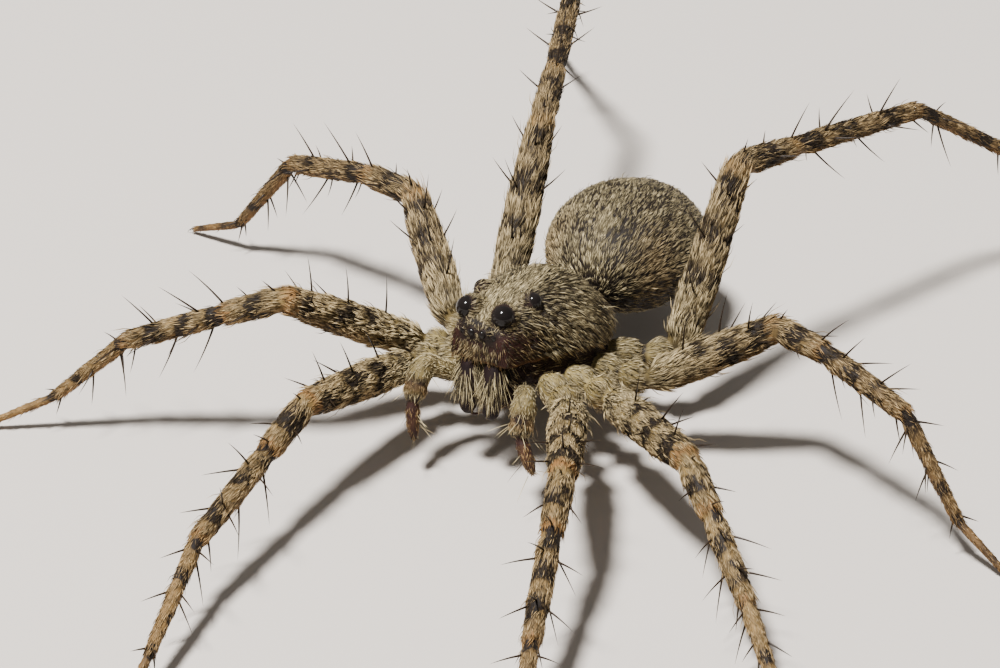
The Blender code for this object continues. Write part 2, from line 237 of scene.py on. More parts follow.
# Palps, in body axes: root, knee, end of the tibia, tip.
PALPS = {
    "left": ((1.32, 0.68, -0.40), (2.12, 1.27, -0.03),
             (2.36, 1.33, -0.74), (2.46, 1.72, -1.36)),
    "right": ((1.32, -0.70, -0.38), (2.16, -0.99, 0.08),
              (2.46, -1.01, -0.57), (2.58, -0.88, -1.32)),
}

# ---------------------------------------------------------------- the hair
# What the skin and the coat know at each point of a form, where it says nothing
# else: darkness, ochre and redness from 0 to 1, the blades' length and angle in
# degrees, and how much of the full coat grows there.
PLAIN = {"tone": 0.3, "warm": 0.3, "red": 0.0, "reach": 0.22, "lift": 18.0, "cover": 1.0}

SEAT_DEPTH = 0.06          # how far from the skin the root of a blade is looked for
ROOT_DEPTH = 0.012         # how deep in the skin a blade starts
# Of the tufts first, and then of the blades inside one: the spread of the headings
# in radians, the spread of the tones, and the range of the lengths as a factor.
TUFT_TURN, BLADE_TURN = 0.17, 0.10
TUFT_DRIFT, BLADE_DRIFT = 0.14, 0.10
TUFT_REACH, BLADE_REACH = (0.70, 1.25), (0.8, 1.1)
TUFT_LIFT = (0.55, 1.5)    # range of the angles of tufts, as a factor
TIP_LIFT = 0.62            # angle of a blade's tip, of the angle it starts at
PULL_LIMIT = 0.6           # how far a tip may be drawn in, of its blade's length
TONE_EDGES = (0.18, 0.70)  # a tuft is pale up to the first and dark from the second
PALE_REACH = 1.10          # length of a pale blade, as a factor
DARK_LOSS = 0.35           # how much less that factor is for a dark one
BLADE_WIDTH = (0.75, 1.25)  # range of the radii of blades, as a factor
FULL_REACH = 0.24          # length of a blade that has the full radius
GUARD_SHARE = 0.012        # share of the blades that are long guard hairs
GUARD_REACH = 1.6          # their length, of the length of the others
GUARD_LIFT = (1.5, 10.0)   # their angle: a factor, and degrees more
STRAYS = (0.04, 0.04)      # share of odd blades in a pale tuft, and more in a dark one
BLADE_SIDES = 3
BLADE_TAPER = (1.0, 0.72)
CHART_PATCH = 0.003        # size of one blade's patch on the OFBake map

JAW_BRISTLES = 300         # on each jaw
PALP_BRISTLES = (12, 9)    # on each palp's tibia and tarsus
BRISTLE_SIDES = 4
BRISTLE_RADIUS = (0.005, 0.008)
BRISTLE_TAPER = (1.0, 0.9, 0.7, 0.45)
SPINE_SIDES = 6            # of the claws too
SPINE_TAPER = (1.15, 1.0, 0.88, 0.70, 0.50, 0.28)
CLAW_RADIUS = 0.014
CLAW_STEPS = 7
FANG_SIDES = 10
FANG_RADIUS = 0.045
FANG_STEPS = 8

# ---------------------------------------------------------------- the stage
CAMERA_TARGET = (-2.66, 1.61, 0.0)
FLOOR_HALF = 1.0            # the stage's own sizes are in metres
LIGHT_DISTANCE = 0.20
KEY_WAY = (-0.10, -0.33, 0.94)
KEY_SIZE = 0.035
FILL_RAISE = (0.0, 0.0, 0.3)
FILL_SIZE = 0.16
WORLD_COLOUR = (1.0, 0.98, 0.95, 1.0)
WORLD_STRENGTH = 0.22


# ---------------------------------------------------------------- settings
class SkinSettings(PropertyGroup):
    """Sizes of the skin."""
    voxel: FloatProperty(
        name="Voxel", description="Size of the cells that join the forms into one skin",
        default=0.046 * MM, min=0.03 * MM, unit="LENGTH", precision=6)


class CoatSettings(PropertyGroup):
    """How the coat is planted."""
    seed: IntProperty(name="Seed", description="Start of the random draws", default=7)
    leg_density: IntProperty(
        name="Leg density", description="Blades on a square millimetre of the legs",
        default=860, min=0)
    carapace_density: IntProperty(
        name="Carapace density", description="Blades on a square millimetre of the carapace",
        default=1250, min=0)
    abdomen_density: IntProperty(
        name="Abdomen density", description="Blades on a square millimetre of the abdomen",
        default=825, min=0)
    palp_density: IntProperty(
        name="Palp density", description="Blades on a square millimetre of the palps",
        default=860, min=0)
    underside_density: IntProperty(
        name="Underside density", description="Blades on a square millimetre under the body",
        default=520, min=0)
    tuft: IntProperty(
        name="Tuft", description="Blades drawn together in one tuft", default=4, min=1)
    pull: FloatProperty(
        name="Pull", description="How far the tips of a tuft are drawn together",
        default=0.28, min=0.0, max=1.0)
    radius: FloatProperty(
        name="Blade radius", description="Radius of a blade at its root",
        default=0.0092 * MM, min=0.002 * MM, unit="LENGTH", precision=6)


COLOUR = {"subtype": "COLOR", "min": 0.0, "max": 1.0}


class ColourSettings(PropertyGroup):
    """Colours of the coat, cuticle, jaws, eyes and floor."""
    pale: FloatVectorProperty(
        name="Pale hair", description="Hair of the light parts",
        default=(0.58, 0.475, 0.265), **COLOUR)
    ochre: FloatVectorProperty(
        name="Ochre hair", description="Hair of the feet and of the legs' undersides",
        default=(0.43, 0.235, 0.085), **COLOUR)
    dark: FloatVectorProperty(
        name="Dark hair", description="Hair of the bands and spots",
        default=(0.028, 0.018, 0.010), **COLOUR)
    cuticle: FloatVectorProperty(
        name="Cuticle", description="Bare skin between the hairs",
        default=(0.26, 0.20, 0.075), **COLOUR)
    cuticle_ochre: FloatVectorProperty(
        name="Ochre cuticle", description="Bare skin of the feet",
        default=(0.25, 0.122, 0.040), **COLOUR)
    cuticle_dark: FloatVectorProperty(
        name="Dark cuticle", description="Bare skin of the carapace and bands",
        default=(0.012, 0.008, 0.006), **COLOUR)
    cuticle_red: FloatVectorProperty(
        name="Red cuticle", description="Cheeks and margin of the carapace",
        default=(0.038, 0.011, 0.008), **COLOUR)
    # The jaws' speckle is kept dark, partly their own colour and partly painted shade under the
    # clypeus.
    jaw: FloatVectorProperty(
        name="Jaw", description="Lighter speckle of the jaws",
        default=(0.014, 0.006, 0.006), **COLOUR)
    eye: FloatVectorProperty(
        name="Eye", description="Lens of each eye",
        default=(0.002, 0.002, 0.002), **COLOUR)
    floor: FloatVectorProperty(
        name="Floor", description="Floor of the stage",
        default=(0.47, 0.425, 0.38), **COLOUR)


class StageSettings(PropertyGroup):
    """Camera and lights."""
    azimuth: FloatProperty(
        name="Azimuth", description="Turn of the camera round the figure",
        default=math.radians(36.0), unit="ROTATION")
    elevation: FloatProperty(
        name="Elevation", description="Height of the camera, as an angle",
        default=math.radians(32.0), unit="ROTATION")
    distance: FloatProperty(
        name="Distance", description="From the camera to the point it looks at",
        default=0.090, unit="LENGTH")
    lens: FloatProperty(
        name="Lens", description="Focal length in millimetres", default=168.3, unit="CAMERA")
    key: FloatProperty(
        name="Key light", description="Power of the key light", default=1.55, unit="POWER")
    fill: FloatProperty(
        name="Fill light", description="Power of the fill light", default=0.035, unit="POWER")


# ---------------------------------------------------------------- arithmetic
def unit(vectors):
    """Each vector at length 1."""
    return vectors / np.maximum(np.linalg.norm(vectors, axis=-1, keepdims=True), 1e-9)


def smooth(low, high, values):
    """0 up to low, 1 from high, with an even turn between."""
    share = np.clip((values - low) / (high - low), 0.0, 1.0)
    return share * share * (3.0 - 2.0 * share)


def fade(low, high, values):
    """1 up to low, 0 from high."""
    return 1.0 - smooth(low, high, values)


def circle(count):
    """Even angles round a circle, none of them twice."""
    return np.linspace(0.0, 2.0 * math.pi, count, endpoint=False)


def profile(stations, at, rounding=0.0):
    """A value read along its stations, with its corners rounded."""
    places, values = np.array(stations, float).T
    steps = np.linspace(-0.5, 0.5, 9) * rounding
    return np.mean([np.interp(at + step, places, values) for step in steps], axis=0)


def mottle(points, scale, offset=0.0):
    """Soft noise, from -1 to 1, at each point."""
    flat = points.reshape(-1, 3) * scale + offset
    values = np.fromiter((noise.noise(point) for point in flat.tolist()), float, len(flat))
    return values.reshape(points.shape[:-1])


def body_axes():
    """From body axes (forward, left, up) to the figure's own."""
    pitch = Matrix.Rotation(-math.radians(BODY_PITCH), 3, "X")
    roll = Matrix.Rotation(-math.radians(BODY_ROLL), 3, "Y")
    axes = Matrix(((0, 1, 0), (-1, 0, 0), (0, 0, 1)))
    return np.array(pitch @ roll @ axes)


BODY_AXES = body_axes()
AHEAD, LEFT, ABOVE = BODY_AXES.T


def in_body(forward, left, up):
    """A place in body axes as one in the figure's own."""
    places = np.stack(np.broadcast_arrays(forward, left, up), axis=-1).astype(float)
    return places @ BODY_AXES.T + BODY_AT


ABDOMEN_AXES = BODY_AXES @ np.array(Matrix.Rotation(math.radians(ABDOMEN_SWING), 3, "Z"))
ABDOMEN_AT = in_body(*ABDOMEN_CENTRE)


# ---------------------------------------------------------------- forms
# A form is one closed surface: a grid of points, rings along it and columns
# round it, whose last column repeats the first. It belongs to one coat, whose
# hair lies along its lie, and its marks are those of PLAIN.
def make_form(coat, points, lie, **marks):
    form = {"coat": coat, "points": points, "lie": unit(np.broadcast_to(lie, points.shape))}
    for name, value in {**PLAIN, **marks}.items():
        form[name] = np.broadcast_to(np.asarray(value, float), points.shape[:2])
    shares = (np.linspace(0, 1, count) for count in points.shape[:2])
    form["chart"] = np.stack(np.meshgrid(*shares, indexing="ij"), axis=-1)
    return form


def place_on_chart(form, low_x, low_y, high_x, high_y):
    """Give the form a field of its coat's UV map."""
    low = np.array((low_x, low_y))
    high = np.array((high_x, high_y))
    form["chart"] = low + form["chart"] * (high - low)


def limb_line(joints):
    """Points along a limb with rounded corners, and the distance to each joint."""
    joints = np.array(joints, float)
    stops = np.concatenate([[0.0], np.cumsum(np.linalg.norm(np.diff(joints, axis=0), axis=1))])
    along = np.linspace(0.0, stops[-1], int(stops[-1] / RING_SPACING))
    centre = np.stack([profile(np.column_stack([stops, joints[:, axis]]), along, BEND)
                       for axis in range(3)], axis=1)
    return along, stops, centre


def limb_frames(centre):
    """At each point of a line: the way along it, across it and to its top."""
    tangent = unit(np.gradient(centre, axis=0))
    across = unit(np.cross(tangent, UP))
    top = np.cross(across, tangent)
    return tangent, across, top


def limb_radius(along, stops, names, radii):
    """Radius of each ring of a limb, whose two ends are rounded off."""
    stations = [(stops[i] + share * (stops[i + 1] - stops[i]), radius)
                for i, name in enumerate(names) for share, radius in radii[name]]
    radius = profile(stations, along, 0.10)
    for end, way in ((stops[0], 1.0), (stops[-1], -1.0)):
        width = radius[0] if way > 0 else radius[-1]
        inside = np.clip((along - end) * way / width, 0.0, 1.0)
        radius = radius * np.sqrt(1.0 - (1.0 - inside) ** 2)
    return radius


def sweep(centre, across, top, radius, columns):
    """A grid of points round a line, and each column's angle from the top."""
    angle = np.linspace(0.0, 2.0 * math.pi, columns + 1)
    radial = (top[:, None] * np.cos(angle)[None, :, None]
              + across[:, None] * np.sin(angle)[None, :, None])
    return centre[:, None] + radial * radius[:, None, None], angle


def trace_leg(side_name, number):
    """The rings of one leg: place along it, joints, centres, frames and radius."""
    along, stops, centre = limb_line(leg_joints(side_name, number))
    return along, stops, centre, limb_frames(centre), limb_radius(along, stops, SEGMENTS, LEG_SKIN)


def segment_shares(along, stops):
    """Which segment each ring is in, and how far along it."""
    index = np.clip(np.searchsorted(stops, along, side="right") - 1, 0, len(stops) - 2)
    share = (along - stops[index]) / (stops[index + 1] - stops[index])
    return index, share


def leg_joints(side_name, number):
    """The ends of a leg's segments, from the coxa's root to the foot's tip."""
    side = SIDES[side_name]
    out, forward = COXA_ROOTS[number]
    joints = [in_body(forward, side * out, -COXA_DROP)]
    out, forward = HIPS[number]
    joints.append(in_body(forward, side * out, -HIP_DROP))
    for length, (heading, rise) in zip(LEG_LENGTHS[number], STANCE[side_name, number]):
        turn, lift = math.radians(heading), math.radians(rise)
        step = np.array((side * math.cos(turn) * math.cos(lift),
                         -math.sin(turn) * math.cos(lift), math.sin(lift)))
        joints.append(joints[-1] + step * length)
    joints[-1][2] = FOOT_HEIGHT
    return joints


def leg_marks(number, index, share, points):
    """Darkness of a leg's bands, and where its thinly haired rings are."""
    wander = share[:, None] + 0.05 * mottle(points, 2.3, 3.1 * number)
    broken = smooth(-0.38, 0.10, mottle(points, 3.4, 20.0 + number))
    tone = np.full(points.shape[:2], PAIR_HAIR[number][0])
    ring = np.zeros(len(share))
    for i, name in enumerate(SEGMENTS):
        rows = index == i
        for middle, half, darkness in LEG_BANDS[name]:
            band = fade(0.30, 1.70, np.abs(wander[rows] - middle) / half)
            tone[rows] = np.maximum(tone[rows], band * darkness * broken[rows])
        if name in LEG_RINGS:
            ring[rows] = smooth(1.0 - 1.5 * LEG_RINGS[name], 1.0 - LEG_RINGS[name], share[rows])
    return tone + 0.22 * mottle(points, 4.2, 11.0), ring[:, None]


def leg_form(side_name, number):
    along, stops, centre, (tangent, across, top), radius = trace_leg(side_name, number)
    points, angle = sweep(centre, across, top, radius, LEG_COLUMNS)
    index, share = segment_shares(along, stops)
    coxa = (index == 0)[:, None]
    above = 0.5 + 0.5 * np.cos(angle)[None, :]
    tone, ring = leg_marks(number, index, share, points)
    # The underside is paler, more ochre and thinly haired.
    tone = tone * (0.40 + 0.60 * smooth(0.02, 0.45, above)) * (1.0 - 0.75 * ring)
    tone = tone * np.where(coxa, 0.55, 1.0)
    cover = (0.50 + 0.50 * smooth(0.0, 0.45, above)) * (1.0 - 0.72 * ring)
    cover = cover * np.where(coxa, 0.60, 1.0)
    middles = [start + 0.5 * (end - start) for start, end in zip(stops, stops[1:])]
    ochre, reach, lift = np.array([LEG_HAIR[name] for name in SEGMENTS]).T
    pair_ochre, ring_ochre = PAIR_HAIR[number][1:]
    warm = pair_ochre * np.interp(along, middles, ochre)[:, None]
    warm = warm + 0.30 * fade(0.1, 0.6, above) + ring_ochre * ring
    return make_form(f"leg_{side_name}_{number}", points, tangent[:, None],
                     tone=np.clip(tone, 0.0, 1.0), warm=np.clip(warm, 0.0, 1.0), cover=cover,
                     reach=reach[index][:, None], lift=lift[index][:, None])


def palp_form(side_name):
    along, stops, centre = limb_line([in_body(*place) for place in PALPS[side_name]])
    tangent, across, top = limb_frames(centre)
    radius = limb_radius(along, stops, ("femur", "tibia", "tarsus"), PALP_SKIN)
    points = sweep(centre, across, top, radius, PALP_COLUMNS)[0]
    index, share = segment_shares(along, stops)
    tibia, tarsus = index == 1, index == 2
    # A dark ring at the last joint, a dark waist, and brown between the two.
    ring = tibia * smooth(0.86, 0.94, share) + tarsus * fade(0.02, 0.12, share)
    waist = tibia * fade(0.02, 0.09, np.abs(share - 0.48))
    brown = tibia * smooth(0.36, 0.52, share) * fade(0.66, 0.82, share)
    tone = 0.14 + ring + 0.18 * waist + 0.16 * brown + 0.22 * tarsus
    tone = np.clip(tone[:, None] + 0.24 * mottle(points, 3.0, 5.0), 0.0, 1.0)
    tarsus = tarsus[:, None]
    warm = np.where(tarsus, 0.80, 0.05) + 0.60 * brown[:, None]
    return make_form(f"palp_{side_name}", points, tangent[:, None], tone=tone, warm=warm,
                     red=np.where(tarsus, 0.55, 0.15), reach=0.12, lift=18.0,
                     cover=np.where(tarsus, 0.55, 1.0))


def arch_grid(stations, columns, downward, bulges, edge=0.0):
    """Rings of an arch and its flat closing side, ended by shallow domes. The
    flat side lies at the edge's height, or at half the arch's where that is less."""
    stations = np.array(stations, float)
    first, last = stations[0, 0], stations[-1, 0]
    forward = np.linspace(first, last, int((last - first) / RING_SPACING))
    values = [profile(stations[:, (0, i)], forward, CARAPACE_ROUNDING)
              for i in range(1, stations.shape[1])]
    if len(values) < 3:
        values.append(np.full(len(forward), TRUNK_SQUARENESS))
    turns = np.radians(np.linspace(10, 90, DOME_RINGS))
    rear, front = bulges
    scale = np.concatenate([np.cos(turns)[::-1], np.ones(len(forward)), np.cos(turns)])
    forward = np.concatenate([(first - rear * np.sin(turns))[::-1], forward,
                              last + front * np.sin(turns)])
    widths, heights, squareness = (np.pad(value, DOME_RINGS, mode="edge") for value in values)
    arch = np.linspace(0.0, math.pi, columns + 1)
    flat = np.linspace(-1.0, 1.0, columns // 2 + 1)[1:]
    power = (2.0 / squareness)[:, None]
    left = np.sign(np.cos(arch)) * np.abs(np.cos(arch)) ** power
    lift = np.abs(np.sin(arch)) ** power
    left = np.concatenate([left, np.broadcast_to(flat, (len(forward), len(flat)))], axis=1)
    lift = np.concatenate([lift, np.zeros((len(forward), len(flat)))], axis=1)
    left = left * (widths * scale)[:, None]
    lift = DOME_MIDDLE + (lift - DOME_MIDDLE) * scale[:, None]
    base = np.minimum(edge, 0.5 * heights)[:, None]
    lift = base + lift * (heights[:, None] - base)
    forward = forward[:, None]
    return in_body(forward, left, -lift if downward else lift), forward, left, lift


def coat_round_eyes(points, cover, reach, tone):
    """Thin and shorten the coat round each eye, darker round the small ones, partly their own dark
    patch and partly painted shade round them.
    """
    for eye_name, (place, _, radius) in each_eye():
        small = eye_name.startswith("anterior")
        gap = np.linalg.norm(points - place, axis=-1)
        cover = cover * smooth(1.0, 1.7 if small else 1.25, gap / (radius + 0.02))
        reach = reach * (0.65 + 0.35 * smooth(0.0, 0.20, gap - radius))
        # Painted shade darkens the coat round the small eyes, which also sit on a dark patch.
        tone = tone + (0.35 if small else -0.12) * fade(0.06, 0.18, gap - radius)
    return cover, reach, tone


def carapace_form():
    points, forward, left, lift = arch_grid(CARAPACE, CARAPACE_COLUMNS, False,
                                            (REAR_BULGE, FACE_BULGE), EDGE)
    out = np.abs(left)
    outward = LEFT * np.sign(left)[..., None]
    side = smooth(0.12, 0.9, out)[..., None]
    face = smooth(1.74, 1.84, forward)
    lie = -AHEAD + side * (0.75 * outward + 1.1 * -ABOVE)
    lie = lie * (1.0 - face[..., None]) + face[..., None] * (-ABOVE + 0.25 * outward)
    # The fovea, a short groove along the middle of the back.
    groove = fade(0.0, 0.09, out) * fade(0.25, 0.45, np.abs(forward + 0.75))
    points = points + groove[..., None] * (lift > 0.3)[..., None] * -ABOVE * FOVEA_DEPTH
    rim = fade(EDGE + 0.02, EDGE + 0.11, lift)
    # A pale stripe down the middle, spreading over the brow, and dark sides, whose darkness is
    # partly the carapace's own and partly painted shade on the sides.
    stripe = fade(0.08, 0.40, out + 0.06 * mottle(points, 3.0))
    brow = smooth(0.8, 1.3, forward) * fade(0.30, 0.6, out)
    tone = 0.58 - 0.29 * np.maximum(stripe, brow) + 0.28 * mottle(points, 2.4, 9.0)
    # The cheeks under the eyes: their darker tone is painted shade under the overhanging eyes and
    # brow, their redness the cuticle's own.
    cheek = smooth(0.9, 1.3, forward) * fade(0.70, 1.0, lift) * smooth(0.3, 0.5, out)
    cheek = np.maximum(cheek, 0.6 * face * fade(0.55, 0.70, lift))
    cover = (1.0 - 0.85 * rim) * (1.0 - 0.40 * cheek) * (lift > EDGE + 0.005)
    cover = cover * (1.0 - 0.40 * face)
    reach = 0.26 - 0.09 * smooth(1.0, 1.7, forward)
    cover, reach, tone = coat_round_eyes(points, cover, reach, tone)
    # A bare reddish margin runs round the lower edge, and painted shade darkens the cheeks.
    tone = np.clip(tone + 0.16 * cheek, 0.0, 1.0) * (1.0 - rim)
    warm = np.clip(0.08 + 0.40 * cheek + rim, 0.0, 1.0)
    red = 0.75 * cheek * (1.0 - rim) + 0.60 * rim
    return make_form("carapace", points, lie, tone=tone, warm=warm, red=red, cover=cover,
                     reach=reach, lift=15.0 + 14.0 * face)


def trunk_forms():
    """The trunk's side walls, above and below, roofed by the wider carapace."""
    forms = []
    for height, downward in ((0.40, False), (0.46, True)):
        stations = [(forward, TRUNK_SHARE * width, height * width, 2.8)
                    for forward, width in np.array(CARAPACE)[1:-3, :2]]
        points = arch_grid(stations, TRUNK_COLUMNS, downward, TRUNK_BULGES)[0]
        forms.append(make_form("underside", points, -AHEAD, tone=0.70, warm=0.3, red=0.35,
                               reach=0.18, cover=0.60))
    return forms


def sternum_form():
    points = arch_grid(STERNUM, TRUNK_COLUMNS, True, TRUNK_BULGES)[0]
    return make_form("underside", points, -AHEAD, tone=0.50, warm=0.2, reach=0.20, lift=18.0)


def egg_grid(centre, axes, length, half_width, half_height, rows, columns):
    """An egg along its first axis, widest a little behind its middle."""
    turn = np.linspace(0.0, math.pi, rows)[:, None]
    angle = np.linspace(0.0, 2.0 * math.pi, columns + 1)[None, :]
    back = np.cos(turn) - 0.06 * np.sin(turn) ** 2
    swell = np.sin(turn) ** 0.92
    local = np.broadcast_arrays(back * length / 2, swell * half_width * np.sin(angle),
                                swell * half_height * np.cos(angle))
    return centre + np.stack(local, axis=-1) @ axes.T


def abdomen_form():
    points = egg_grid(ABDOMEN_AT, ABDOMEN_AXES, ABDOMEN_LENGTH,
                      ABDOMEN_HALF_WIDTH, ABDOMEN_HALF_HEIGHT, *ABDOMEN_GRID)
    local = (points - ABDOMEN_AT) @ ABDOMEN_AXES
    forward, out, up = local[..., 0], np.abs(local[..., 1]), local[..., 2]
    points = points + unit(points - ABDOMEN_AT) * 0.03 * mottle(points, 1.4)[..., None]
    # The hair lies away from the pedicel, drooping down the sides.
    pedicel = ABDOMEN_AXES @ np.array((2.3, 0.0, -1.6))
    lie = unit(points - ABDOMEN_AT - pedicel) - 0.6 * ABDOMEN_AXES[:, 0]
    lie = lie - ABDOMEN_AXES[:, 2] * 0.45 * smooth(0.2, 1.3, out)[..., None]
    # Paired dark patches behind a pale heart mark, yellower shoulders and a dark underside.
    heart = fade(0.08, 0.30, out) * smooth(0.0, 0.5, forward) * (up > 0)
    wave = forward + 0.9 * out + 0.22 * mottle(points, 1.6, 8.0)
    patches = smooth(0.30, 0.95, np.cos(wave * 2.0 * math.pi / 0.85)) * smooth(0.12, 0.4, out)
    patches = patches * fade(0.9, 1.2, out) * (up > 0)
    tone = 0.44 + 0.10 * patches - 0.08 * heart + 0.13 * mottle(points, 3.2, 4.0)
    below = smooth(0.15, 0.7, -up)
    shoulder = smooth(0.2, 1.3, forward) * smooth(0.4, 1.1, out)
    tone = tone * (1 - below) + 0.62 * below - 0.10 * shoulder
    return make_form("abdomen", points, lie, tone=np.clip(tone, 0.0, 1.0),
                     warm=0.06 + 0.34 * shoulder, reach=0.175, lift=15.0, cover=1.0 - 0.50 * below)


def tube_form(coat, start, end, radii, columns=TUBE_COLUMNS, **marks):
    """A plain round limb of one segment between two points."""
    line = np.linspace(0.0, 1.0, TUBE_RINGS)
    centre = start + (end - start) * line[:, None]
    tangent, across, top = limb_frames(centre)
    radius = profile(radii, line, 0.1) * np.sqrt(np.clip(1 - (2 * line - 1) ** 8, 0.0, 1.0))
    points = sweep(centre, across, top, radius, columns)[0]
    return make_form(coat, points, tangent[:, None], **marks)


def spinneret_forms():
    """Three pairs of short fingers under the abdomen's tail."""
    forms = []
    for back, out, drop, long in SPINNERETS:
        for side in (-1, 1):
            root = ABDOMEN_AT + ABDOMEN_AXES @ np.array((-back + 0.12, side * out, -drop - 0.05))
            way = np.array((-SPINNERET_LENGTH * long - 0.1, side * 0.04, -0.06))
            forms.append(tube_form("abdomen", root, root + ABDOMEN_AXES @ way,
                                   ((0, SPINNERET_RADIUS), (1, 0.05)), SPINNERET_COLUMNS,
                                   tone=0.35, warm=0.5, reach=0.10, cover=0.6))
    return forms


def pedicel_form():
    """The narrow waist between the carapace and the abdomen."""
    end = ABDOMEN_AT + ABDOMEN_AXES @ np.array((ABDOMEN_LENGTH / 2 - 0.35, 0.0, -0.25))
    return tube_form("underside", in_body(-1.55, 0.0, 0.16), end,
                     ((0, PEDICEL_RADIUS), (1, PEDICEL_RADIUS)), tone=0.7, warm=0.2, cover=0.4)


def mouth_forms():
    """The two maxillae beside the jaws' roots."""
    return [tube_form("underside", in_body(1.00, side * 0.30, -0.42),
                      in_body(1.42, side * 0.20, -0.74), ((0, 0.17), (0.6, 0.19), (1, 0.13)),
                      tone=0.45, warm=0.6, red=0.3, reach=0.12, cover=0.5)
            for side in SIDES.values()]


def each_eye():
    """The name of each lens, and its middle, direction and radius."""
    for kind, (forward, out, up, radius) in EYES.items():
        ahead, aside, above = EYE_AXES[kind]
        for side_name, side in SIDES.items():
            axis = unit(BODY_AXES @ np.array((ahead, side * aside, above)))
            yield f"{kind}_{side_name}", (in_body(forward, side * out, up), axis, radius)


def eye_mounds():
    """A haired swelling of the skin round each eye, which its lens stands out of."""
    forms = []
    for _, (place, axis, radius) in each_eye():
        centre = place - axis * radius * 0.36
        size = MOUND * radius
        points = egg_grid(centre, np.eye(3), 2 * size, size, size, *MOUND_GRID)
        outward = points - centre
        lie = -AHEAD - 0.8 * axis + 0.2 * outward
        # No hair grows where the lens is, and little round the small eyes.
        cover = min(1.6, 8.0 * radius) * fade(0.42, 0.55, unit(outward) @ axis)
        # The mound's skin comes out dark and reddish, in part painted shade cast by the lens on the
        # face.
        forms.append(make_form("carapace", points, lie, tone=0.42, warm=0.15, red=0.25,
                               reach=0.14, lift=26.0, cover=cover))
    return forms


def all_forms():
    """Every form of the figure, each on its own field of its coat's UV map."""
    legs = [leg_form(*leg) for leg in LEGS]
    palps = [palp_form(side) for side in SIDES]
    spinnerets = spinneret_forms()
    abdomen = abdomen_form()
    underside = [sternum_form()] + trunk_forms() + [pedicel_form()] + mouth_forms()
    for i, form in enumerate(underside):
        place_on_chart(form, 0.02, 0.02 + 0.16 * i, 0.98, 0.16 + 0.16 * i)
    place_on_chart(abdomen, 0.02, 0.02, 0.98, 0.88)
    for i, form in enumerate(spinnerets):
        place_on_chart(form, 0.02 + 0.16 * i, 0.90, 0.16 + 0.16 * i, 0.98)
    carapace, mounds = carapace_form(), eye_mounds()
    place_on_chart(carapace, 0.02, 0.02, 0.98, 0.84)
    for i, form in enumerate(mounds):
        place_on_chart(form, 0.02 + 0.12 * i, 0.86, 0.12 + 0.12 * i, 0.98)
    return legs + palps + [carapace, abdomen] + spinnerets + underside + mounds


# ---------------------------------------------------------------- meshes
def mesh_object(name, points, faces, corners):
    """A mesh object in metres from arrays of points and of equal faces."""
    mesh = bpy.data.meshes.new(name)
    mesh.vertices.add(len(points))
    mesh.vertices.foreach_set("co", (np.asarray(points) * MM).astype(np.float32).ravel())
    mesh.loops.add(faces.size)
    mesh.loops.foreach_set("vertex_index", faces.astype(np.int32).ravel())
    mesh.polygons.add(len(faces))
    mesh.polygons.foreach_set("loop_start", np.arange(0, faces.size, corners, dtype=np.int32))
    mesh.update(calc_edges=True)
    mesh.shade_smooth()
    piece = bpy.data.objects.new(name, mesh)
    bpy.context.collection.objects.link(piece)
    return piece


def set_values(mesh, name, values):
    """Store one value at each point, for the materials to read."""
    mesh.attributes.new(name, "FLOAT", "POINT").data.foreach_set("value", values.astype(np.float32))


def corner_grid(rows, columns):
    return np.arange(rows * columns).reshape(rows, columns)


def quads(*corners):
    """Faces whose four corners stand in four equal arrays."""
    return np.stack(corners, axis=-1).reshape(-1, 4)


def join_parts(parts):
    """Several sets of points and faces as one."""
    points, faces, start = [], [], 0
    for part_points, part_faces in parts:
        points.append(part_points)
        faces.append(part_faces + start)
        start += len(part_points)
    return np.concatenate(points), np.concatenate(faces)


def join_forms(forms):
    """All forms as one cloud of points and one list of quads."""
    parts = []
    for form in forms:
        corner = corner_grid(*form["points"].shape[:2])
        faces = quads(corner[:-1, :-1], corner[:-1, 1:], corner[1:, 1:], corner[1:, :-1])
        parts.append((form["points"].reshape(-1, 3), faces))
    return join_parts(parts)


def fuse(piece, voxel):
    """Join the piece's overlapping bodies into one even surface. It is worked at
    1000 times life size, because the modifier has a smallest cell."""
    weld = piece.modifiers.new("weld", "WELD")
    weld.merge_threshold = 1e-4
    remesh = piece.modifiers.new("fuse", "REMESH")
    remesh.mode = "VOXEL"
    remesh.voxel_size = voxel / MM
    soften = piece.modifiers.new("soften", "SMOOTH")
    soften.factor = 0.5
    soften.iterations = 3
    piece.data.transform(Matrix.Scale(1.0 / MM, 4))
    evaluated = piece.evaluated_get(bpy.context.evaluated_depsgraph_get())
    fused = bpy.data.meshes.new_from_object(evaluated)
    piece.modifiers.clear()
    piece.data = fused
    fused.transform(Matrix.Scale(MM, 4))
    fused.name = piece.name
    fused.shade_smooth()


def mark_skin(mesh, forms):
    """Carry tone, warmth and redness from the forms to the nearest skin."""
    points, faces = join_forms(forms)
    tree = BVHTree.FromPolygons(points.tolist(), faces.tolist())
    count = len(mesh.vertices)
    places = np.empty(count * 3, np.float32)
    mesh.vertices.foreach_get("co", places)
    places = places.reshape(-1, 3) / MM
    face = np.array([tree.find_nearest(place)[2] for place in places.tolist()])
    corners = faces[face]
    gaps = np.linalg.norm(points[corners] - places[:, None], axis=2)
    weight = 1.0 / (gaps + 0.01)
    weight /= weight.sum(axis=1, keepdims=True)
    for name in ("tone", "warm", "red"):
        values = np.concatenate([form[name].ravel() for form in forms])
        set_values(mesh, name, (values[corners] * weight).sum(axis=1))


# ---------------------------------------------------------------- blades
def blade_faces(sides, rings):
    """Triangles of one closed blade: rings of corners, then its tip."""
    faces = []
    for ring in range(rings - 1):
        for i in range(sides):
            j = (i + 1) % sides
            low, high = ring * sides, (ring + 1) * sides
            faces.append((low + i, low + j, high + j))
            faces.append((low + i, high + j, high + i))
    last, tip = (rings - 1) * sides, rings * sides
    faces += [(last + i, last + (i + 1) % sides, tip) for i in range(sides)]
    faces += [(0, i + 1, i) for i in range(1, sides - 1)]
    return np.array(faces)


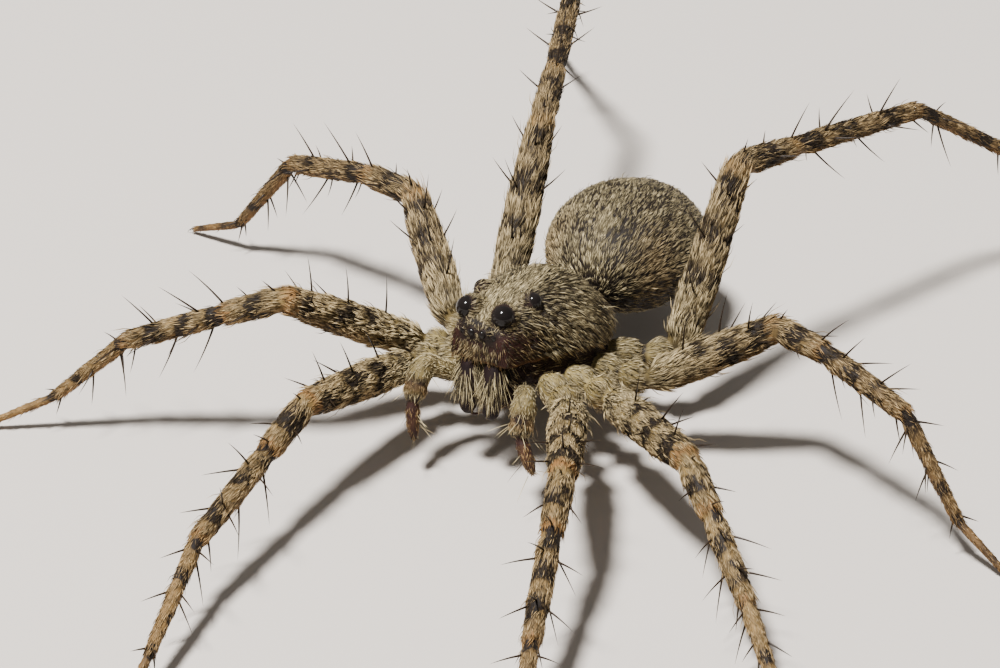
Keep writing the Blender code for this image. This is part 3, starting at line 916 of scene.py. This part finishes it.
def make_blades(name, paths, radius, taper, sides, up, **marks):
    """Closed tapered blades along paths of points, as one joined mesh. Each mark
    has one value for each blade."""
    count, steps = paths.shape[:2]
    rings = steps - 1
    axis = unit(paths[:, -1] - paths[:, 0])
    across = unit(np.cross(axis, up))
    over = np.cross(across, axis)
    turn = circle(sides)
    spoke = (across[:, None] * np.cos(turn)[None, :, None]
             + over[:, None] * np.sin(turn)[None, :, None])
    width = np.broadcast_to(radius, count)[:, None] * np.asarray(taper)[None, :]
    ring = paths[:, :rings, None] + spoke[:, None] * width[:, :, None, None]
    points = np.concatenate([ring.reshape(count, rings * sides, 3), paths[:, -1:]], axis=1)
    per_blade = points.shape[1]
    faces = blade_faces(sides, rings)[None] + (np.arange(count) * per_blade)[:, None, None]
    piece = mesh_object(name, points.reshape(-1, 3), faces.reshape(-1, 3), 3)
    along = np.append(np.repeat(np.linspace(0.0, 1.0, rings, endpoint=False), sides), 1.0)
    set_values(piece.data, "tip", np.tile(along, count))
    for label, values in marks.items():
        set_values(piece.data, label, np.repeat(values, per_blade))
    return piece


def chart_blades(piece, roots, sides, rings):
    """The OFBake map: each blade a small patch at its root's place."""
    turn = np.tile(np.linspace(0.0, 1.0, sides), rings)
    along = np.repeat(np.linspace(0.0, 1.0, rings + 1)[:-1], sides)
    local = np.column_stack([np.append(turn, 0.5), np.append(along, 1.0)]) * CHART_PATCH
    places = (roots[:, None] + local[None]).reshape(-1, 2)
    index = np.empty(len(piece.data.loops), np.int32)
    piece.data.loops.foreach_get("vertex_index", index)
    layer = piece.data.uv_layers.new(name="OFBake")
    layer.data.foreach_set("uv", places[index].astype(np.float32).ravel())


def cell_weights(form):
    """The covered area of each cell of a form, in square millimetres."""
    points = form["points"]
    edge_a = points[1:, :-1] - points[:-1, :-1]
    edge_b = points[:-1, 1:] - points[:-1, :-1]
    return np.linalg.norm(np.cross(edge_a, edge_b), axis=-1) * form["cover"][:-1, :-1]


def plant(form, density, draw):
    """Roots spread evenly over a form: its entries read at random places."""
    weights = cell_weights(form)
    total = np.cumsum(weights.ravel())
    count = int(total[-1] * density)
    picks = (np.arange(count) + draw.random(count)) / count * total[-1]
    row, column = np.divmod(np.searchsorted(total, picks), weights.shape[1])
    a, b = draw.random(count)[:, None], draw.random(count)[:, None]
    found = {}
    for name in ("points", "lie", "tone", "warm", "reach", "lift", "chart"):
        grid = form[name].reshape(*form["points"].shape[:2], -1)
        low = grid[row, column] * (1 - b) + grid[row, column + 1] * b
        high = grid[row + 1, column] * (1 - b) + grid[row + 1, column + 1] * b
        found[name] = (low * (1 - a) + high * a).squeeze()
    return found


def seat(roots, tree):
    """Keep the roots that lie on the skin, moved onto it, with its normal."""
    kept = []
    for i, place in enumerate((roots["points"] * MM).tolist()):
        hit, normal, _, gap = tree.find_nearest(place)
        if gap < SEAT_DEPTH * MM:
            kept.append((i, hit, normal))
    keep, places, normals = zip(*kept)
    roots = {name: values[list(keep)] for name, values in roots.items()}
    return {**roots, "points": np.array(places) / MM, "normal": np.array(normals)}


def choose_leaders(points, tuft, draw):
    """For each blade, the blade that leads its tuft."""
    leaders = draw.permutation(len(points))[:max(1, len(points) // tuft)]
    tree = KDTree(len(leaders))
    for leader in leaders.tolist():
        tree.insert(points[leader], leader)
    tree.balance()
    return np.array([tree.find(place)[1] for place in points.tolist()])


def lay_paths(roots, leader, draw, pull):
    """Root, middle and tip of each blade, bent down along the coat's lie, with
    the tips of one tuft drawn together."""
    count = len(leader)
    normal = roots["normal"]
    side = unit(np.cross(normal, roots["lie"]))
    lie = np.cross(side, normal)
    yaw = draw.normal(0.0, TUFT_TURN, count)[leader] + draw.normal(0.0, BLADE_TURN, count)
    heading = lie * np.cos(yaw[:, None]) + side * np.sin(yaw[:, None])
    reach = roots["reach"] * draw.uniform(*TUFT_REACH, count)[leader]
    reach = reach * draw.uniform(*BLADE_REACH, count)
    lift = roots["lift"] * draw.uniform(*TUFT_LIFT, count)[leader]
    guard = draw.random(count) < GUARD_SHARE
    factor, more = GUARD_LIFT
    reach = np.where(guard, reach * GUARD_REACH, reach)[:, None]
    lift = np.radians(np.where(guard, lift * factor + more, lift))[:, None]
    start = roots["points"] - normal * ROOT_DEPTH
    middle = start + 0.5 * reach * (heading * np.cos(lift) + normal * np.sin(lift))
    tip = start + reach * (heading * np.cos(lift * TIP_LIFT) + normal * np.sin(lift * TIP_LIFT))
    # The tips move towards their leader's, by no more than part of their length.
    draw_in = np.where(guard, 0.0, pull)[:, None] * (tip[leader] - tip)
    size = np.maximum(np.linalg.norm(draw_in, axis=1), 1e-6)[:, None]
    draw_in = draw_in * np.minimum(1.0, PULL_LIMIT * reach / size)
    return np.stack([start, middle + 0.3 * draw_in, tip + draw_in], axis=1)


def make_coat(name, forms, density, tree, draw):
    settings = bpy.context.scene.spider_coat
    batches = [seat(plant(form, density, draw), tree) for form in forms]
    roots = {key: np.concatenate([batch[key] for batch in batches]) for key in batches[0]}
    count = len(roots["points"])
    leader = choose_leaders(roots["points"], settings.tuft, draw)
    # Each tuft is mostly pale or mostly dark, and the dark ones are shorter.
    drift = draw.normal(0.0, TUFT_DRIFT, count)[leader] + draw.normal(0.0, BLADE_DRIFT, count)
    tone = smooth(*TONE_EDGES, roots["tone"][leader] + drift)
    # A few blades have the other tone, so a dark ring shows pale hairs too.
    stray = draw.random(count) < STRAYS[0] + STRAYS[1] * tone
    tone = np.where(stray, 1.0 - tone, tone)
    roots["reach"] = roots["reach"] * (PALE_REACH - DARK_LOSS * tone)
    paths = lay_paths(roots, leader, draw, settings.pull)
    radius = settings.radius / MM * draw.uniform(*BLADE_WIDTH, count)
    radius = radius * (0.55 + 0.45 * roots["reach"] / FULL_REACH)
    shade = 0.4 * draw.random(count)[leader] + 0.6 * draw.random(count) ** 1.3
    tone = np.clip(0.90 * tone + draw.uniform(-0.04, 0.12, count), 0.0, 1.0)
    piece = make_blades(name, paths, radius, BLADE_TAPER, BLADE_SIDES, roots["normal"],
                        tone=tone, warm=roots["warm"], shade=shade)
    chart_blades(piece, roots["chart"], BLADE_SIDES, len(BLADE_TAPER))
    return piece


# ---------------------------------------------------------------- node groups
def new_group(name, inputs, outputs):
    """A node group and its two end nodes. A value of four numbers is a colour."""
    group = bpy.data.node_groups.new(name, "ShaderNodeTree")
    for way, sockets in (("INPUT", inputs), ("OUTPUT", outputs)):
        for label, value in sockets.items():
            kind = "NodeSocketColor" if isinstance(value, tuple) else "NodeSocketFloat"
            socket = group.interface.new_socket(name=label, in_out=way, socket_type=kind)
            socket.default_value = value
    return group, group.nodes.new("NodeGroupInput"), group.nodes.new("NodeGroupOutput")


def feed(tree, socket, value):
    """Give a socket a plain value, or link another socket to it."""
    if isinstance(value, bpy.types.NodeSocket):
        tree.links.new(value, socket)
    else:
        socket.default_value = value


def add_mix(tree, blend, factor, first, second):
    """A colour mix, whose inputs 0, 6 and 7 are the factor and the two colours."""
    node = tree.nodes.new("ShaderNodeMix")
    node.data_type = "RGBA"
    node.blend_type = blend
    for index, value in ((0, factor), (6, first), (7, second)):
        feed(tree, node.inputs[index], value)
    return node.outputs[2]


def add_math(tree, operation, *values):
    node = tree.nodes.new("ShaderNodeMath")
    node.operation = operation
    for socket, value in zip(node.inputs, values):
        feed(tree, socket, value)
    return node.outputs[0]


def add_noise(tree, place, scale, detail):
    """Noise over the object's own shape, its scale counted over a metre."""
    texture = tree.nodes.new("ShaderNodeTexNoise")
    feed(tree, texture.inputs["Scale"], scale)
    texture.inputs["Detail"].default_value = detail
    tree.links.new(place.outputs["Object"], texture.inputs["Vector"])
    return texture.outputs["Fac"]


def add_attribute(tree, name):
    node = tree.nodes.new("ShaderNodeAttribute")
    node.attribute_name = name
    return node.outputs["Fac"]


def marking_group():
    """Pale, ochre and dark mixed by the tone and warmth of the place."""
    group, given, result = new_group(
        "Coat markings",
        {"Tone": 0.3, "Warmth": 0.3, "Pale": (0.5, 0.5, 0.5, 1), "Ochre": (0.5, 0.3, 0.1, 1),
         "Dark": (0.02, 0.02, 0.02, 1)}, {"Colour": (0, 0, 0, 1)})
    tone, warmth, pale, ochre, dark = list(given.outputs)[:5]
    light = add_mix(group, "MIX", warmth, pale, ochre)
    mixed = add_mix(group, "MIX", tone, light, dark)
    group.links.new(mixed, result.inputs["Colour"])
    return group


def grain_group():
    """Fine grain of a surface: a height for bump and a mask of speckles. Coarse
    and Fine are counted over a millimetre."""
    group, given, result = new_group(
        "Cuticle grain", {"Coarse": 8.0, "Fine": 40.0, "Strength": 0.5},
        {"Height": 0.0, "Speckle": 0.0})
    place = group.nodes.new("ShaderNodeTexCoord")
    scales = [add_math(group, "MULTIPLY", given.outputs[label], 1.0 / MM)
              for label in ("Coarse", "Fine")]
    heights = [add_noise(group, place, scale, 3.0) for scale in scales]
    total = add_math(group, "ADD", *heights)
    height = add_math(group, "MULTIPLY", total, given.outputs["Strength"])
    group.links.new(height, result.inputs["Height"])
    group.links.new(heights[0], result.inputs["Speckle"])
    return group


def place_group(tree, name, build, **values):
    """A node of a shared group, which is built the first time it is placed."""
    node = tree.nodes.new("ShaderNodeGroup")
    node.node_tree = bpy.data.node_groups.get(name) or build()
    for label, value in values.items():
        feed(tree, node.inputs[label], value)
    return node


def new_material(name, **values):
    """A material whose shader has these values, an underscore for each space."""
    material = bpy.data.materials.new(name)
    material.use_nodes = True
    shader = material.node_tree.nodes["Principled BSDF"]
    for label, value in values.items():
        shader.inputs[label.replace("_", " ")].default_value = value
    return material, material.node_tree, shader


def add_grain(tree, shader, coarse, fine, depth):
    """Bump the surface with the cuticle's grain, and give its mask of speckles."""
    grain = place_group(tree, "Cuticle grain", grain_group, Coarse=coarse, Fine=fine, Strength=0.5)
    bump = tree.nodes.new("ShaderNodeBump")
    bump.inputs["Distance"].default_value = depth * MM
    tree.links.new(grain.outputs["Height"], bump.inputs["Height"])
    tree.links.new(bump.outputs["Normal"], shader.inputs["Normal"])
    return grain.outputs["Speckle"]


def marked_colour(tree, pale, ochre, dark, tone, warm):
    """The marking group set to three of the figure's colours."""
    node = place_group(tree, "Coat markings", marking_group, Tone=tone, Warmth=warm,
                       Pale=(*pale, 1.0), Ochre=(*ochre, 1.0), Dark=(*dark, 1.0))
    return node.outputs["Colour"]


def skin_material():
    colours = bpy.context.scene.spider_colours
    material, tree, shader = new_material("Skin cuticle", Roughness=0.60, Specular_IOR_Level=0.15)
    # Under the coat the skin is darker than the hair, partly its own dark cuticle and partly
    # painted shade in the gaps between the hairs, and pale only where the coat is thin.
    tone = add_math(tree, "MULTIPLY", add_attribute(tree, "tone"), 2.6)
    base = marked_colour(tree, colours.cuticle, colours.cuticle_ochre, colours.cuticle_dark,
                         tone, add_attribute(tree, "warm"))
    red = add_mix(tree, "MIX", add_attribute(tree, "red"), base, (*colours.cuticle_red, 1.0))
    spots = add_mix(tree, "MULTIPLY", 0.55, red, add_grain(tree, shader, 9.0, 45.0, 0.02))
    tree.links.new(spots, shader.inputs["Base Color"])
    return material


def coat_material():
    """The hair's material, made the first time it is asked for."""
    existing = bpy.data.materials.get("Coat hair")
    if existing:
        return existing
    colours = bpy.context.scene.spider_colours
    material, tree, shader = new_material("Coat hair", Roughness=0.50, Specular_IOR_Level=0.14)
    base = marked_colour(tree, colours.pale, colours.ochre, colours.dark,
                         add_attribute(tree, "tone"), add_attribute(tree, "warm"))
    # Each blade has its own lightness, and is darker towards its root: painted shade deep in the
    # coat.
    lightness = add_math(tree, "MULTIPLY_ADD", add_attribute(tree, "shade"), 1.30, 0.20)
    root = add_math(tree, "MULTIPLY_ADD", add_attribute(tree, "tip"), 0.95, 0.15)
    value = add_math(tree, "MULTIPLY", lightness, root)
    tree.links.new(add_mix(tree, "MULTIPLY", 1.0, base, value), shader.inputs["Base Color"])
    return material


def cuticle_material(name, colour, speckle, roughness, coarse, fine):
    """Bare cuticle of one colour, speckled with another."""
    material, tree, shader = new_material(name, Roughness=roughness, Specular_IOR_Level=0.12)
    mask = add_grain(tree, shader, coarse, fine, 0.01)
    mixed = add_mix(tree, "MIX", mask, (*colour, 1.0), (*speckle, 1.0))
    tree.links.new(mixed, shader.inputs["Base Color"])
    return material


def eye_material():
    colours = bpy.context.scene.spider_colours
    material, tree, shader = new_material("Eye lens", Roughness=0.11, IOR=1.28)
    clouds = add_noise(tree, tree.nodes.new("ShaderNodeTexCoord"), 3.0 / MM, 2.0)
    mixed = add_mix(tree, "MIX", clouds, (*colours.eye, 1.0), EYE_DEPTHS)
    tree.links.new(mixed, shader.inputs["Base Color"])
    return material


def floor_material():
    colours = bpy.context.scene.spider_colours
    return new_material("Stage floor", Roughness=0.8, Base_Color=(*colours.floor, 1.0))[0]


def finish_piece(piece, material, slot, *nodes):
    """Give a piece its material, hang it from the root body and hide the solids it stands for; its
    slot is not used.
    """
    piece.data.materials.clear()
    piece.data.materials.append(material)
    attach(piece, "root")
    if nodes:
        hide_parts(*nodes)


# ---------------------------------------------------------------- hard parts
def ring_points(place, axis, rise, out, turn):
    """Places round an axis: how far along it, how far out from it, at which turn."""
    first = unit(np.cross(axis, UP))
    second = np.cross(axis, first)
    return (place + axis * rise[..., None] + first * (out * np.cos(turn))[..., None]
            + second * (out * np.sin(turn))[..., None])


def lens_shape(place, axis, radius):
    """A lens, its dome a little flatter than a ball's."""
    fall = np.linspace(0.0, math.pi, LENS_ROWS)[:, None]
    turn = circle(LENS_COLUMNS)[None, :]
    points = ring_points(place, axis, np.cos(fall) * 0.94 * radius, np.sin(fall) * radius, turn)
    points[0] = points[0].mean(axis=0)
    points[-1] = points[-1].mean(axis=0)
    corner = corner_grid(LENS_ROWS, LENS_COLUMNS)
    beside = np.roll(corner, -1, axis=1)
    return points.reshape(-1, 3), quads(corner[:-1], corner[1:], beside[1:], beside[:-1])


def collar_shape(place, axis, radius):
    """A thin raised ring of cuticle round a lens."""
    turn = circle(LENS_COLUMNS)[:, None]
    tilt = circle(COLLAR_COLUMNS)[None, :]
    thick = 0.05 * radius
    points = ring_points(place, axis, 0.26 * radius + thick * np.sin(tilt),
                         radius * 0.96 + thick * np.cos(tilt), turn)
    corner = corner_grid(LENS_COLUMNS, COLLAR_COLUMNS)
    across = np.roll(corner, -1, axis=0)
    faces = quads(corner, across, np.roll(across, -1, axis=1), np.roll(corner, -1, axis=1))
    return points.reshape(-1, 3), faces


def jaw_line(side):
    """Points down the middle of one jaw, and the share of its length at each."""
    top, tip = (in_body(forward, side * out, up)
                for forward, out, up in (CHELICERA_TOP, CHELICERA_TIP))
    share = np.linspace(0.0, 1.0, JAW_ROWS)
    belly = AHEAD * 0.07 * np.sin(math.pi * share[:, None] ** 0.8)
    return share, top + (tip - top) * share[:, None] + belly


def jaw_shape(side):
    """One jaw, whose two ends close to a point."""
    share, centre = jaw_line(side)
    tangent = unit(np.gradient(centre, axis=0))
    sideways = np.broadcast_to(LEFT, tangent.shape)
    ends = np.clip(np.minimum(share, 1.0 - share) * 9.0, 0.0, 1.0)
    radius = profile(CHELICERA, share, 0.12) * np.sqrt(1.0 - (1.0 - ends) ** 2)
    points = sweep(centre, sideways, np.cross(tangent, sideways), radius, JAW_COLUMNS)[0]
    corner = corner_grid(JAW_ROWS, JAW_COLUMNS)
    beside = np.roll(corner, -1, axis=1)
    faces = quads(corner[:-1], beside[:-1], beside[1:], corner[1:])
    return points[:, :-1].reshape(-1, 3), faces


def fang_path(side):
    """A fang folded inwards under its jaw."""
    bow = np.linspace(0.0, 1.0, FANG_STEPS)[:, None]
    return (jaw_line(side)[1][-4] + -side * LEFT * 0.26 * bow
            - ABOVE * 0.07 * np.sin(math.pi * bow) - AHEAD * 0.08 * bow)


def leg_spines(side_name, number, draw):
    """Root, direction, the limb's own direction and length of each spine of a leg."""
    along, stops, centre, (tangent, across, top), radius = trace_leg(side_name, number)
    for name, spines in LEG_SPINES.items():
        i = SEGMENTS.index(name)
        for share, around, length, lean in spines:
            at = stops[i] + share * (stops[i + 1] - stops[i])
            k = int(np.argmin(np.abs(along - at)))
            turn = math.radians(around + draw.normal(0.0, 7.0))
            out = top[k] * math.cos(turn) + across[k] * math.sin(turn)
            lean = math.radians(lean + draw.normal(0.0, 6.0))
            yield (centre[k] + out * (radius[k] - 0.02),
                   tangent[k] * math.cos(lean) + out * math.sin(lean),
                   tangent[k], length * draw.uniform(0.85, 1.12))


def spine_paths(side_name, number, draw):
    """The spines of one leg, bowed towards its foot and kept off the floor."""
    roots, ways, bends, lengths = (np.array(values)
                                   for values in zip(*leg_spines(side_name, number, draw)))
    share = np.linspace(0.0, 1.0, len(SPINE_TAPER) + 1)[None, :, None]
    bow = draw.uniform(0.04, 0.16, len(roots))[:, None, None]
    paths = (roots[:, None] + (ways[:, None] * share + bends[:, None] * bow * share ** 2)
             * lengths[:, None, None])
    paths[..., 2] = np.maximum(paths[..., 2], 0.03)
    return paths


def claw_paths(side_name, number):
    """The two claws of one foot, side by side and curved down."""
    wrist, foot = leg_joints(side_name, number)[-2:]
    ahead = unit(foot - wrist)
    beside = unit(np.cross(ahead, UP))
    share = np.linspace(0.0, 1.0, CLAW_STEPS)[:, None]
    for way in (-1, 1):
        root = foot + beside * 0.022 * way - ahead * 0.05
        claw = root + ahead * 0.15 * share + beside * 0.02 * way * share
        yield claw - UP * (0.065 * share ** 2) + UP * 0.03 * np.sin(math.pi * share)


def jaw_bristles(draw):
    """Pale and dark hairs hanging from the jaws' fronts, shorter lower down."""
    for side in SIDES.values():
        share, centre = jaw_line(side)
        for _ in range(JAW_BRISTLES):
            at = 0.60 * draw.random() ** 1.4
            turn = draw.normal(0.0, 0.85)
            middle = np.array([np.interp(at, share, centre[:, axis]) for axis in range(3)])
            out = AHEAD * math.cos(turn) + LEFT * math.sin(turn)
            way = out * draw.uniform(0.15, 0.80) + LEFT * draw.normal(0.0, 0.32) - ABOVE
            tone = draw.choice((0.05, 0.4, 0.92), p=(0.26, 0.22, 0.52))
            length = draw.uniform(0.18, 0.60) * (1.0 - 0.60 * at) * (1.0 - 0.30 * tone)
            yield middle + out * (np.interp(at, *np.array(CHELICERA).T) - 0.01), way, length, tone


def palp_bristles(draw):
    """Long hairs, most of them pale, standing from the palps' tibia and tarsus."""
    for places in PALPS.values():
        knee, wrist, tip = (in_body(*place) for place in places[1:])
        for start, end, radius, count in zip((knee, wrist), (wrist, tip), (0.18, 0.11),
                                             PALP_BRISTLES):
            along = unit(end - start)
            across = unit(np.cross(along, AHEAD))
            front = np.cross(across, along)
            for _ in range(count):
                turn = draw.uniform(0.0, 2.0 * math.pi)
                out = across * math.cos(turn) + front * math.sin(turn)
                yield (start + (end - start) * draw.uniform(0.15, 0.95) + out * (radius - 0.02),
                       out + along * draw.uniform(0.3, 1.0), draw.uniform(0.25, 0.55),
                       draw.choice((0.0, 0.15, 0.9), p=(0.6, 0.2, 0.2)))


# ---------------------------------------------------------------- operators
LIMB_NODES = ("coxa", "femur", "tibia", "metatarsus", "tarsus")


def flesh_nodes():
    """The solids that the skin stands for."""
    nodes = ["cephalothorax", "sternum", "mouthparts", "pedicel", "abdomen", "spinnerets"]
    for side in SIDES:
        nodes += [f"palp_femur_{side}", f"palp_tip_{side}"]
        nodes += [f"{part}_{side}_{number}" for part in LIMB_NODES for number in PAIRS]
    return nodes


class SPIDER_OT_skin(Operator):
    """Build the one skin that stands for every part of flesh"""
    bl_idname = "spider.skin"
    bl_label = "Skin"

    def execute(self, context):
        forms = all_forms()
        points, faces = join_forms(forms)
        skin = mesh_object("skin", points, faces, 4)
        fuse(skin, context.scene.spider_skin.voxel)
        mark_skin(skin.data, forms)
        finish_piece(skin, skin_material(), "limb", *flesh_nodes())
        return {"FINISHED"}


class SPIDER_OT_coat(Operator):
    """Plant the coat on the skin, one piece for each part of the body"""
    bl_idname = "spider.coat"
    bl_label = "Coat"

    def execute(self, context):
        settings = context.scene.spider_coat
        draw = np.random.default_rng(settings.seed)
        skin = bpy.data.objects["skin"]
        tree = BVHTree.FromObject(skin, context.evaluated_depsgraph_get())
        forms = {}
        for form in all_forms():
            forms.setdefault(form["coat"], []).append(form)
        plans = [(f"leg_{side}_{number}", settings.leg_density, "limb") for side, number in LEGS]
        plans += [(f"palp_{side}", settings.palp_density, "limb") for side in SIDES]
        plans += [("carapace", settings.carapace_density, "carapace"),
                  ("abdomen", settings.abdomen_density, "abdomen"),
                  ("underside", settings.underside_density, "underside")]
        for name, density, slot in plans:
            piece = make_coat(f"coat_{name}", forms[name], density, tree, draw)
            finish_piece(piece, coat_material(), slot)
        return {"FINISHED"}


class SPIDER_OT_eyes(Operator):
    """Set the eight eyes in the head, each in its dark rim"""
    bl_idname = "spider.eyes"
    bl_label = "Eyes"

    def execute(self, context):
        colours = context.scene.spider_colours
        lens = eye_material()
        collars = []
        for eye_name, place in each_eye():
            eye = mesh_object(f"lens_{eye_name}", *lens_shape(*place), 4)
            finish_piece(eye, lens, "eye", f"eye_{eye_name}")
            collars.append(collar_shape(*place))
        rims = mesh_object("eye_rims", *join_parts(collars), 4)
        rim = cuticle_material("Eye rim", colours.cuticle_dark, colours.eye, 0.8, 14.0, 60.0)
        finish_piece(rims, rim, "carapace")
        return {"FINISHED"}


class SPIDER_OT_jaws(Operator):
    """Build the two jaws and their folded fangs"""
    bl_idname = "spider.jaws"
    bl_label = "Jaws"

    def execute(self, context):
        colours = context.scene.spider_colours
        # The jaws are near black, partly their own dark cuticle and partly painted shade under the
        # clypeus.
        jaw = cuticle_material("Jaw cuticle", colours.eye, colours.jaw, 0.6, 5.0, 30.0)
        fang = cuticle_material("Fang", colours.cuticle_dark, colours.cuticle_red, 0.2, 5.0, 30.0)
        for side_name, side in SIDES.items():
            piece = mesh_object(f"jaw_{side_name}", *jaw_shape(side), 4)
            finish_piece(piece, jaw, "jaw", f"chelicera_{side_name}")
        paths = np.array([fang_path(side) for side in SIDES.values()])
        taper = np.linspace(1.0, 0.25, FANG_STEPS - 1)
        fangs = make_blades("fangs", paths, FANG_RADIUS, taper, FANG_SIDES, AHEAD)
        finish_piece(fangs, fang, "jaw")
        return {"FINISHED"}


class SPIDER_OT_bristles(Operator):
    """Set the bristles of the jaws and palps"""
    bl_idname = "spider.bristles"
    bl_label = "Bristles"

    def execute(self, context):
        draw = np.random.default_rng(context.scene.spider_coat.seed + 2)
        for name, build, slot, droop in (("jaw_bristles", jaw_bristles, "jaw", 0.30),
                                         ("palp_bristles", palp_bristles, "limb", 0.12)):
            roots, ways, lengths, tones = (np.array(values) for values in zip(*build(draw)))
            share = np.linspace(0.0, 1.0, len(BRISTLE_TAPER) + 1)[None, :, None]
            fall = -ABOVE * droop * share ** 2
            paths = roots[:, None] + (unit(ways)[:, None] * share + fall) * lengths[:, None, None]
            count = len(roots)
            piece = make_blades(name, paths, draw.uniform(*BRISTLE_RADIUS, count), BRISTLE_TAPER,
                                BRISTLE_SIDES, AHEAD, tone=tones, warm=np.zeros(count),
                                shade=0.7 + 0.3 * draw.random(count))
            finish_piece(piece, coat_material(), slot)
        return {"FINISHED"}


class SPIDER_OT_spines(Operator):
    """Set the long dark spines of the legs and the claws of the feet"""
    bl_idname = "spider.spines"
    bl_label = "Spines and claws"

    def execute(self, context):
        colours = context.scene.spider_colours
        draw = np.random.default_rng(context.scene.spider_coat.seed + 1)
        spine = cuticle_material("Spine", colours.dark, colours.cuticle_dark, 0.3, 6.0, 30.0)
        for side_name, number in LEGS:
            piece = make_blades(f"spines_{side_name}_{number}",
                                spine_paths(side_name, number, draw),
                                SPINE_RADIUS, SPINE_TAPER, SPINE_SIDES, UP + 0.01)
            finish_piece(piece, spine, "spine")
        paths = np.array([claw for leg in LEGS for claw in claw_paths(*leg)])
        taper = np.linspace(1.0, 0.3, CLAW_STEPS - 1)
        claws = make_blades("claws", paths, CLAW_RADIUS, taper, SPINE_SIDES, UP)
        finish_piece(claws, spine, "spine")
        return {"FINISHED"}


def aim(thing, place, at):
    """Add a camera or light to the scene at a place, looking at a point."""
    item = bpy.data.objects.new(thing.name, thing)
    bpy.context.collection.objects.link(item)
    item.location = place
    item.rotation_euler = (Vector(at) - item.location).to_track_quat("-Z", "Y").to_euler()
    return item


def add_light(name, place, at, size, power):
    light = bpy.data.lights.new(name, "AREA")
    light.shape = "DISK"
    light.size = size
    light.energy = power
    return aim(light, place, at)


class SPIDER_OT_stage(Operator):
    """Set the floor, the soft lights and the camera"""
    bl_idname = "spider.stage"
    bl_label = "Stage"

    def execute(self, context):
        settings = context.scene.spider_stage
        target = Vector(CAMERA_TARGET) * MM
        azimuth, elevation = settings.azimuth, settings.elevation
        back = Vector((math.sin(azimuth) * math.cos(elevation),
                       -math.cos(azimuth) * math.cos(elevation), math.sin(elevation)))
        lens = bpy.data.cameras.new("camera")
        lens.lens = settings.lens
        lens.sensor_width = 36.0
        lens.clip_start = 0.001
        context.scene.camera = aim(lens, target + back * settings.distance, target)

        corners = np.array(((-1, -1, 0), (1, -1, 0), (1, 1, 0), (-1, 1, 0))) * FLOOR_HALF / MM
        floor = mesh_object("floor", corners, np.array(((0, 1, 2, 3),)), 4)
        floor.data.materials.append(floor_material())

        # The key light stands high over the figure, and the fill beside the camera.
        key_at = target + Vector(KEY_WAY) * LIGHT_DISTANCE
        fill_at = target + (back + Vector(FILL_RAISE)) * LIGHT_DISTANCE
        add_light("key", key_at, target, KEY_SIZE, settings.key)
        fill = add_light("fill", fill_at, target, FILL_SIZE, settings.fill)
        fill.visible_glossy = False
        world = bpy.data.worlds.new("studio")
        world.use_nodes = True
        background = world.node_tree.nodes["Background"]
        background.inputs["Color"].default_value = WORLD_COLOUR
        background.inputs["Strength"].default_value = WORLD_STRENGTH
        context.scene.world = world
        return {"FINISHED"}


class SPIDER_PT_panel(Panel):
    """The figure's pieces and their settings"""
    bl_label = "Wolf Spider"
    bl_idname = "SPIDER_PT_panel"
    bl_space_type = "VIEW_3D"
    bl_region_type = "UI"
    bl_category = "Wolf Spider"

    def draw(self, context):
        for operator in OPERATORS:
            self.layout.operator(operator.bl_idname)
        for name, group in SETTINGS.items():
            settings = getattr(context.scene, name)
            box = self.layout.box()
            for entry in group.__annotations__:
                box.prop(settings, entry)


OPERATORS = (SPIDER_OT_skin, SPIDER_OT_coat, SPIDER_OT_eyes, SPIDER_OT_jaws, SPIDER_OT_bristles,
             SPIDER_OT_spines, SPIDER_OT_stage)
SETTINGS = {"spider_skin": SkinSettings, "spider_coat": CoatSettings,
            "spider_colours": ColourSettings, "spider_stage": StageSettings}
CLASSES = (*SETTINGS.values(), *OPERATORS, SPIDER_PT_panel)


def register():
    for item in CLASSES:
        bpy.utils.register_class(item)
    for name, group in SETTINGS.items():
        setattr(bpy.types.Scene, name, PointerProperty(type=group))


def unregister():
    for name in SETTINGS:
        delattr(bpy.types.Scene, name)
    for item in reversed(CLASSES):
        bpy.utils.unregister_class(item)


def main():
    register()
    bpy.ops.spider.stage()
    bpy.ops.spider.skin()
    bpy.ops.spider.coat()
    bpy.ops.spider.eyes()
    bpy.ops.spider.jaws()
    bpy.ops.spider.bristles()
    bpy.ops.spider.spines()


if __name__ == "__main__":
    main()
